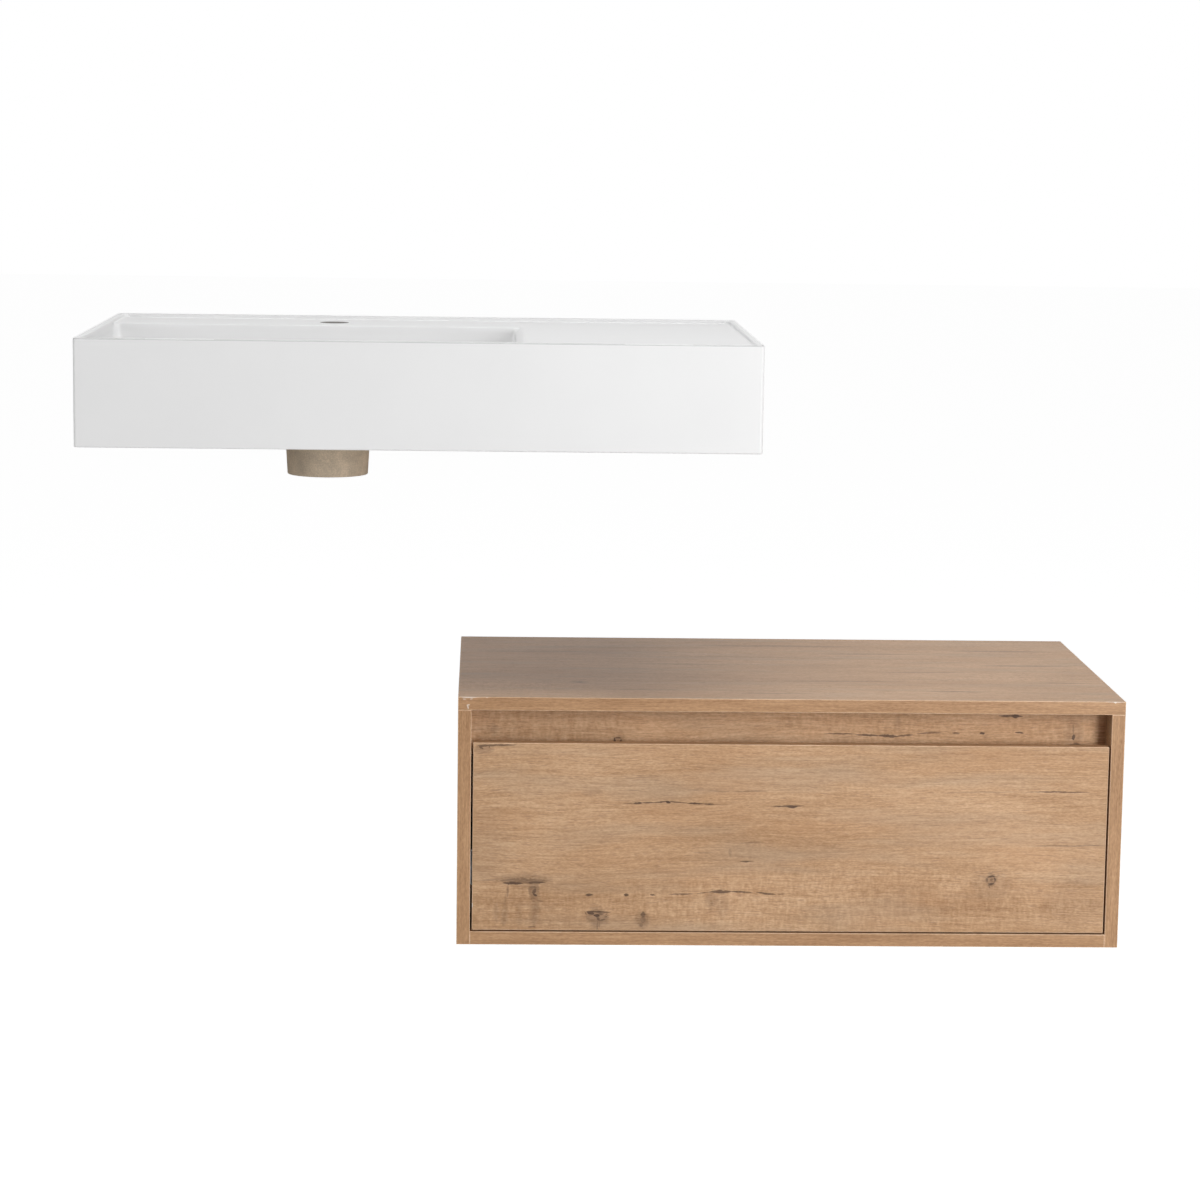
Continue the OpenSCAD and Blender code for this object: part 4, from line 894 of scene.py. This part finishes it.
upright = add(screws, "FunctionNodeAlignRotationToVector", {"Vector": aim}, axis="Z")
angle = add(screws, "FunctionNodeRandomValue", {"Max": math.pi / 2, "Seed": given.outputs["Seed"]},
            data_type="FLOAT")
twist = add(screws, "FunctionNodeAxisAngleToRotation", {"Axis": (0, 0, 1), "Angle": angle})
turned = add(screws, "FunctionNodeRotateRotation", {"Rotation": upright, "Rotate By": twist},
             rotation_space="LOCAL")
placed = add(screws, "GeometryNodeInstanceOnPoints", {"Points": given, "Instance": screw, "Rotation": turned})
real = add(screws, "GeometryNodeRealizeInstances", {0: placed})
coated = add(screws, "GeometryNodeSetMaterial", {"Geometry": real, "Material": given.outputs["Material"]})
add(screws, "NodeGroupOutput", {0: coated})


def set_out(name, tree, node, body, points, sizes, settings):
    """The piece that a tree makes on points. Each point is its place and aim, and sizes are in
    millimetres."""
    mesh = bpy.data.meshes.new(name)
    mesh.from_pydata([Vector(place) * MM for place, aim in points], [], [])
    aims = mesh.attributes.new("aim", "FLOAT_VECTOR", "POINT")
    for n, (place, aim) in enumerate(points):
        aims.data[n].vector = aim
    piece = put(name, mesh)
    step = piece.modifiers.new(name, "NODES")
    step.node_group = tree
    inputs = {item.name: item.identifier for item in tree.interface.items_tree if item.in_out == "INPUT"}
    for label, size in sizes.items():
        step[inputs[label]] = size * MM
    for label, value in settings.items():
        step[inputs[label]] = value
    finished(piece)
    piece.data.materials.pop(index=0)  # the points' own slot, which is empty
    smooth(piece)
    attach(piece, body)
    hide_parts(node)


inner_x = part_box("left_hanger_housing")[0].x / -MM
housing_low, housing_high = (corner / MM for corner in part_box("right_hanger_housing"))
for side in ("left", "right"):
    eased(side + "_plate", side + "_wall_plate", "fixed_set", plated, 0.6, 3)
    eased(side + "_hook", side + "_hanger_hook", "fixed_set", plated, 0.5)
    eased(side + "_housing", side + "_hanger_housing", "fixed_set", grey_plastic, 0.4)
flange_t, flange_z, adjuster_seat = 2, -8, 0.7
set_out("housing_screws", screws, "hanger_screws", "fixed_set",
        [((side * (inner_x - flange_t), y, flange_z), (-side, 0, 0)) for side in (-1, 1) for y in (-42, -62)],
        dict(zip(screw_sizes, (8, 2.2, 4, 13, 4.4, 1, 1.6))), {"Seed": 1, "Material": plated})
adjuster_x = (housing_low.x + housing_high.x) / 2 - 1
set_out("adjusting_screws", screws, "hanger_adjusters", "fixed_set",
        [((side * adjuster_x, housing_low.y - adjuster_seat, z), (0, -1, 0))
         for side in (-1, 1) for z in (6, 30)],
        dict(zip(screw_sizes, (6, 0.8, 5.8, 24.7, 4.4, 1.1, 1.8))), {"Seed": 2, "Material": yellow_zinc})

# ---- Runners ----
# Three rolled steel members a side, each bent round the balls that run between them, in bright zinc. The
# outer is screwed to the cabinet and the inner to the drawer, and plastic cages space the balls.

steel_t, runner_w = 1.2, 12.7
runner_z = -150
runner_y = (-442, -42)
slot_half, slot_r = 14, 3.2


def bend(centre, radius, start, end, steps=6):
    """Points round a bend or a ball track, in a runner's u from the cabinet's side and v from its middle"""
    turns = [math.radians(start + (end - start) * n / steps) for n in range(steps + 1)]
    return [(centre[0] + radius * math.cos(t), centre[1] + radius * math.sin(t)) for t in turns]


def rolled_member(name, node, body, half_line, run, slots):
    """A member rolled from strip: the upper half of its middle line is mirrored, given the steel's thickness
    and drawn along the runner, and long slots are punched in its web at these places along it"""
    side = -1 if node.startswith("left") else 1
    line = [(u, -v) for u, v in half_line[:0:-1]] + half_line
    flanks = ([], [])
    for n, (u, v) in enumerate(line):
        before, after = Vector(line[max(n - 1, 0)]), Vector(line[min(n + 1, len(line) - 1)])
        along = (after - before).normalized()
        for flank, away in zip(flanks, (-steel_t / 2, steel_t / 2)):
            flank.append((u - along.y * away, v + along.x * away))
    section = flanks[0] + flanks[1][::-1]
    rings = [[(side * (inner_x - u), y, runner_z + v) for u, v in section] for y in run]
    piece = loft(name, rings, Vector(), plated)
    web_u = half_line[0][0]
    for middle in slots:
        hole = [(middle + end * slot_half + slot_r * math.cos(t), slot_r * math.sin(t))
                for end, first in ((1, -90), (-1, 90))
                for t in [math.radians(first + 180 * n / 8) for n in range(9)]]
        tool_rings = [[(side * (inner_x - u), y, runner_z + v) for y, v in hole]
                      for u in (web_u - bore_past, web_u + bore_past)]
        join_cut(piece, loft("slot", tool_rings, Vector(), plated), "DIFFERENCE")
    ease_edges(piece, 0.2, 50)
    smooth(piece, 40)
    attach(piece, body)
    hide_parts(node)


outer_line = [(0.6, 0), (0.6, 10), (0.6, 19.6)] + bend((2.2, 19.6), 1.6, 165, 90)
outer_line += bend((7, 19.55), 2.3, 135, 35)
middle_line = [(3.9, 0), (3.9, 8), (3.9, 15.6)] + bend((5.5, 15.6), 1.6, 165, 90) + [(7.4, 17.2)]
middle_line += bend((9.2, 19.5), 2.3, 270, 310)
inner_line = [(12.1, 0), (12.1, 6), (12.1, 11.1)] + bend((10.7, 11.1), 1.4, 15, 90) + [(9.5, 12.52)]
inner_line += bend((8.3, 14.85), 2.3, 270, 225)
for side in ("left", "right"):
    rolled_member(side + "_outer_member", side + "_runner_outer", "fixed_set", outer_line, runner_y,
                  (-340, -170))
    rolled_member(side + "_middle_rail", side + "_runner_middle", side + "_middle_member", middle_line,
                  (runner_y[0] + 2, runner_y[1] - 2), (-390, -300, -150))
    rolled_member(side + "_inner_member", side + "_runner_inner", "drawer", inner_line, runner_y,
                  (-340, -180))
    dress(side + "_outer_cage", grey_plastic)
    dress(side + "_inner_cage", grey_plastic)

drawer_x = inner_x - runner_w
cabinet_screw_ys, drawer_screw_ys = (-405, -277, -62), (-421, -261, -94)
set_out("cabinet_runner_screws", screws, "runner_cabinet_screws", "fixed_set",
        [((side * (inner_x - steel_t), y, runner_z), (-side, 0, 0))
         for side in (-1, 1) for y in cabinet_screw_ys],
        dict(zip(screw_sizes, (7, 0.5, 3.5, 12.2, 3.3, 0.9, 1.2))), {"Seed": 3, "Material": plated})
set_out("drawer_runner_screws", screws, "runner_drawer_screws", "drawer",
        [((side * (drawer_x + steel_t), y, runner_z), (side, 0, 0))
         for side in (-1, 1) for y in drawer_screw_ys],
        dict(zip(screw_sizes, (7, 0.5, 3.5, 9.2, 3.3, 0.9, 1.2))), {"Seed": 4, "Material": plated})

# Hardened ball steel, ground bright
ball_steel, tree, place = start_material("ground_ball_steel")
haze = add(tree, "ShaderNodeTexNoise", {"Vector": place, "Scale": 1 / 1.5, "Detail": 2.0})
tint = add(tree, "ShaderNodeMix", {0: haze, 6: paint("C3C6CA"), 7: paint("D2D4D7")}, data_type="RGBA")
rough = add(tree, "ShaderNodeMapRange", {0: haze, 3: 0.08, 4: 0.18})
finish_material(tree, {"Base Color": tint, "Metallic": 1.0, "Roughness": rough})

balls, given = new_tree(
    "balls_in_rows", "GeometryNodeTree",
    {"Geometry": "Geometry", "Ball diameter": "Float", "Material": "Material"}, {"Geometry": "Geometry"},
)
balls.is_modifier = True
ball_r = add(balls, "ShaderNodeMath", {0: given.outputs["Ball diameter"], 1: 0.5}, operation="MULTIPLY")
ball = add(balls, "GeometryNodeMeshUVSphere", {"Segments": 18, "Rings": 12, "Radius": ball_r})
placed = add(balls, "GeometryNodeInstanceOnPoints", {"Points": given, "Instance": ball})
real = add(balls, "GeometryNodeRealizeInstances", {0: placed})
coated = add(balls, "GeometryNodeSetMaterial", {"Geometry": real, "Material": given.outputs["Material"]})
add(balls, "NodeGroupOutput", {0: coated})
cage_front, cage_length, balls_in_row, ball_d = -340, 196, 6, 3.3
ball_ys = [cage_front + (n + 0.5) * cage_length / balls_in_row for n in range(balls_in_row)]
for side, sign in (("left", -1), ("right", 1)):
    for row, u, v in (("outer", 7, 19.55), ("inner", 8.3, 14.85)):
        points = [((sign * (inner_x - u), y, runner_z + up), (0, 0, 1)) for up in (-v, v) for y in ball_ys]
        track = side + "_" + row
        set_out(track + "_ball_rows", balls, track + "_balls", track + "_cage_set", points,
                {"Ball diameter": ball_d}, {"Material": ball_steel})

# ---- Drawer: dowels and screws ----
# The box is glued up on beech dowels, and eight pan-head screws through its inner front hold the drawer
# front.

dress("drawer_dowels", beech)
inner_face_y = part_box("drawer_inner_front")[1].y / MM
set_out("front_screws", screws, "drawer_front_screws", "drawer",
        [((x, inner_face_y, z), (0, 1, 0)) for x in (-270, -90, 90, 270) for z in (-158, -88)],
        dict(zip(screw_sizes, (8, 2.2, 4, 23, 4.6, 1, 1.6))), {"Seed": 5, "Material": plated})

# ---- Room ----
# Plain pale floor well below the set, a tall soft lamp in front on the right, softer ones above and on the
# left, and an even white room round them.

floor_level, floor_half = -0.95, 30
floor_glow, room_fill = 0.88, 0.12
floor_mesh = bpy.data.meshes.new("floor")
floor_corners = [(x * floor_half, y * floor_half, floor_level)
                 for x, y in ((-1, -1), (1, -1), (1, 1), (-1, 1))]
floor_mesh.from_pydata(floor_corners, [], [(0, 1, 2, 3)])
floor = put("floor", floor_mesh)


def seen_white(tree):
    """1 where the camera, a reflection or a look through glass meets the surface, and 0 for its light"""
    seen = add(tree, "ShaderNodeLightPath")
    direct = add(tree, "ShaderNodeMath", {0: seen, 1: seen.outputs["Is Glossy Ray"]}, operation="MAXIMUM")
    return add(tree, "ShaderNodeMath", {0: direct, 1: seen.outputs["Is Transmission Ray"]},
               operation="MAXIMUM")


pale_floor = bpy.data.materials.new("pale_floor")
pale_floor.use_nodes = True
tree = pale_floor.node_tree
tree.nodes.clear()
direct = seen_white(tree)
matt = add(tree, "ShaderNodeBsdfDiffuse", {"Color": paint("F2F2F2")})
glow_share = add(tree, "ShaderNodeMath", {0: direct, 1: floor_glow}, operation="MULTIPLY")
glow = add(tree, "ShaderNodeEmission", {"Color": paint("FFFFFF"), "Strength": glow_share})
both = add(tree, "ShaderNodeAddShader", {0: matt, 1: glow})
add(tree, "ShaderNodeOutputMaterial", {"Surface": both})
floor.data.materials.append(pale_floor)

world = bpy.data.worlds.new("white_room")
bpy.context.scene.world = world
world.use_nodes = True
tree = world.node_tree
tree.nodes.clear()
room_level = add(tree, "ShaderNodeMapRange", {0: seen_white(tree), 3: room_fill, 4: 1.0})
room = add(tree, "ShaderNodeBackground", {"Color": paint("FFFFFF"), "Strength": room_level})
add(tree, "ShaderNodeOutputWorld", {"Surface": room})


def lamp(name, place, target, size, watts):
    """A rectangular softbox that faces its target"""
    light = bpy.data.lights.new(name, "AREA")
    light.shape = "RECTANGLE"
    light.size, light.size_y = size
    light.energy = watts
    holder = put(name, light)
    holder.location = place
    holder.rotation_euler = (Vector(target) - Vector(place)).to_track_quat("-Z", "Y").to_euler()


lamp("front_softbox", (1.1, -2.8, 0.7), (0.1, -0.2, 0.7), size=(0.6, 1.5), watts=47)
lamp("low_softbox", (0.9, -3.0, 0.2), (0.1, -0.2, 0.1), size=(0.8, 0.8), watts=4)
lamp("top_softbox", (0.0, -0.7, 2.6), (-0.1, -0.2, 0.2), size=(2.4, 1.4), watts=35)
lamp("left_softbox", (-2.5, -1.2, 0.85), (-0.3, -0.2, 0.2), size=(0.9, 0.9), watts=12)

# The camera's place and angle are those that fit the corners of both boxes in the photograph
camera_data = bpy.data.cameras.new("camera")
camera_data.lens = 100
camera_data.sensor_width = 36
camera_data.clip_end = 100
camera = put("camera", camera_data)
camera.location = (-0.3678, -4.3415, 0.7428)
camera.rotation_euler = [math.radians(turn) for turn in (81.711, -0.782, -1.906)]
bpy.context.scene.camera = camera
bpy.context.scene.view_settings.view_transform = "Standard"
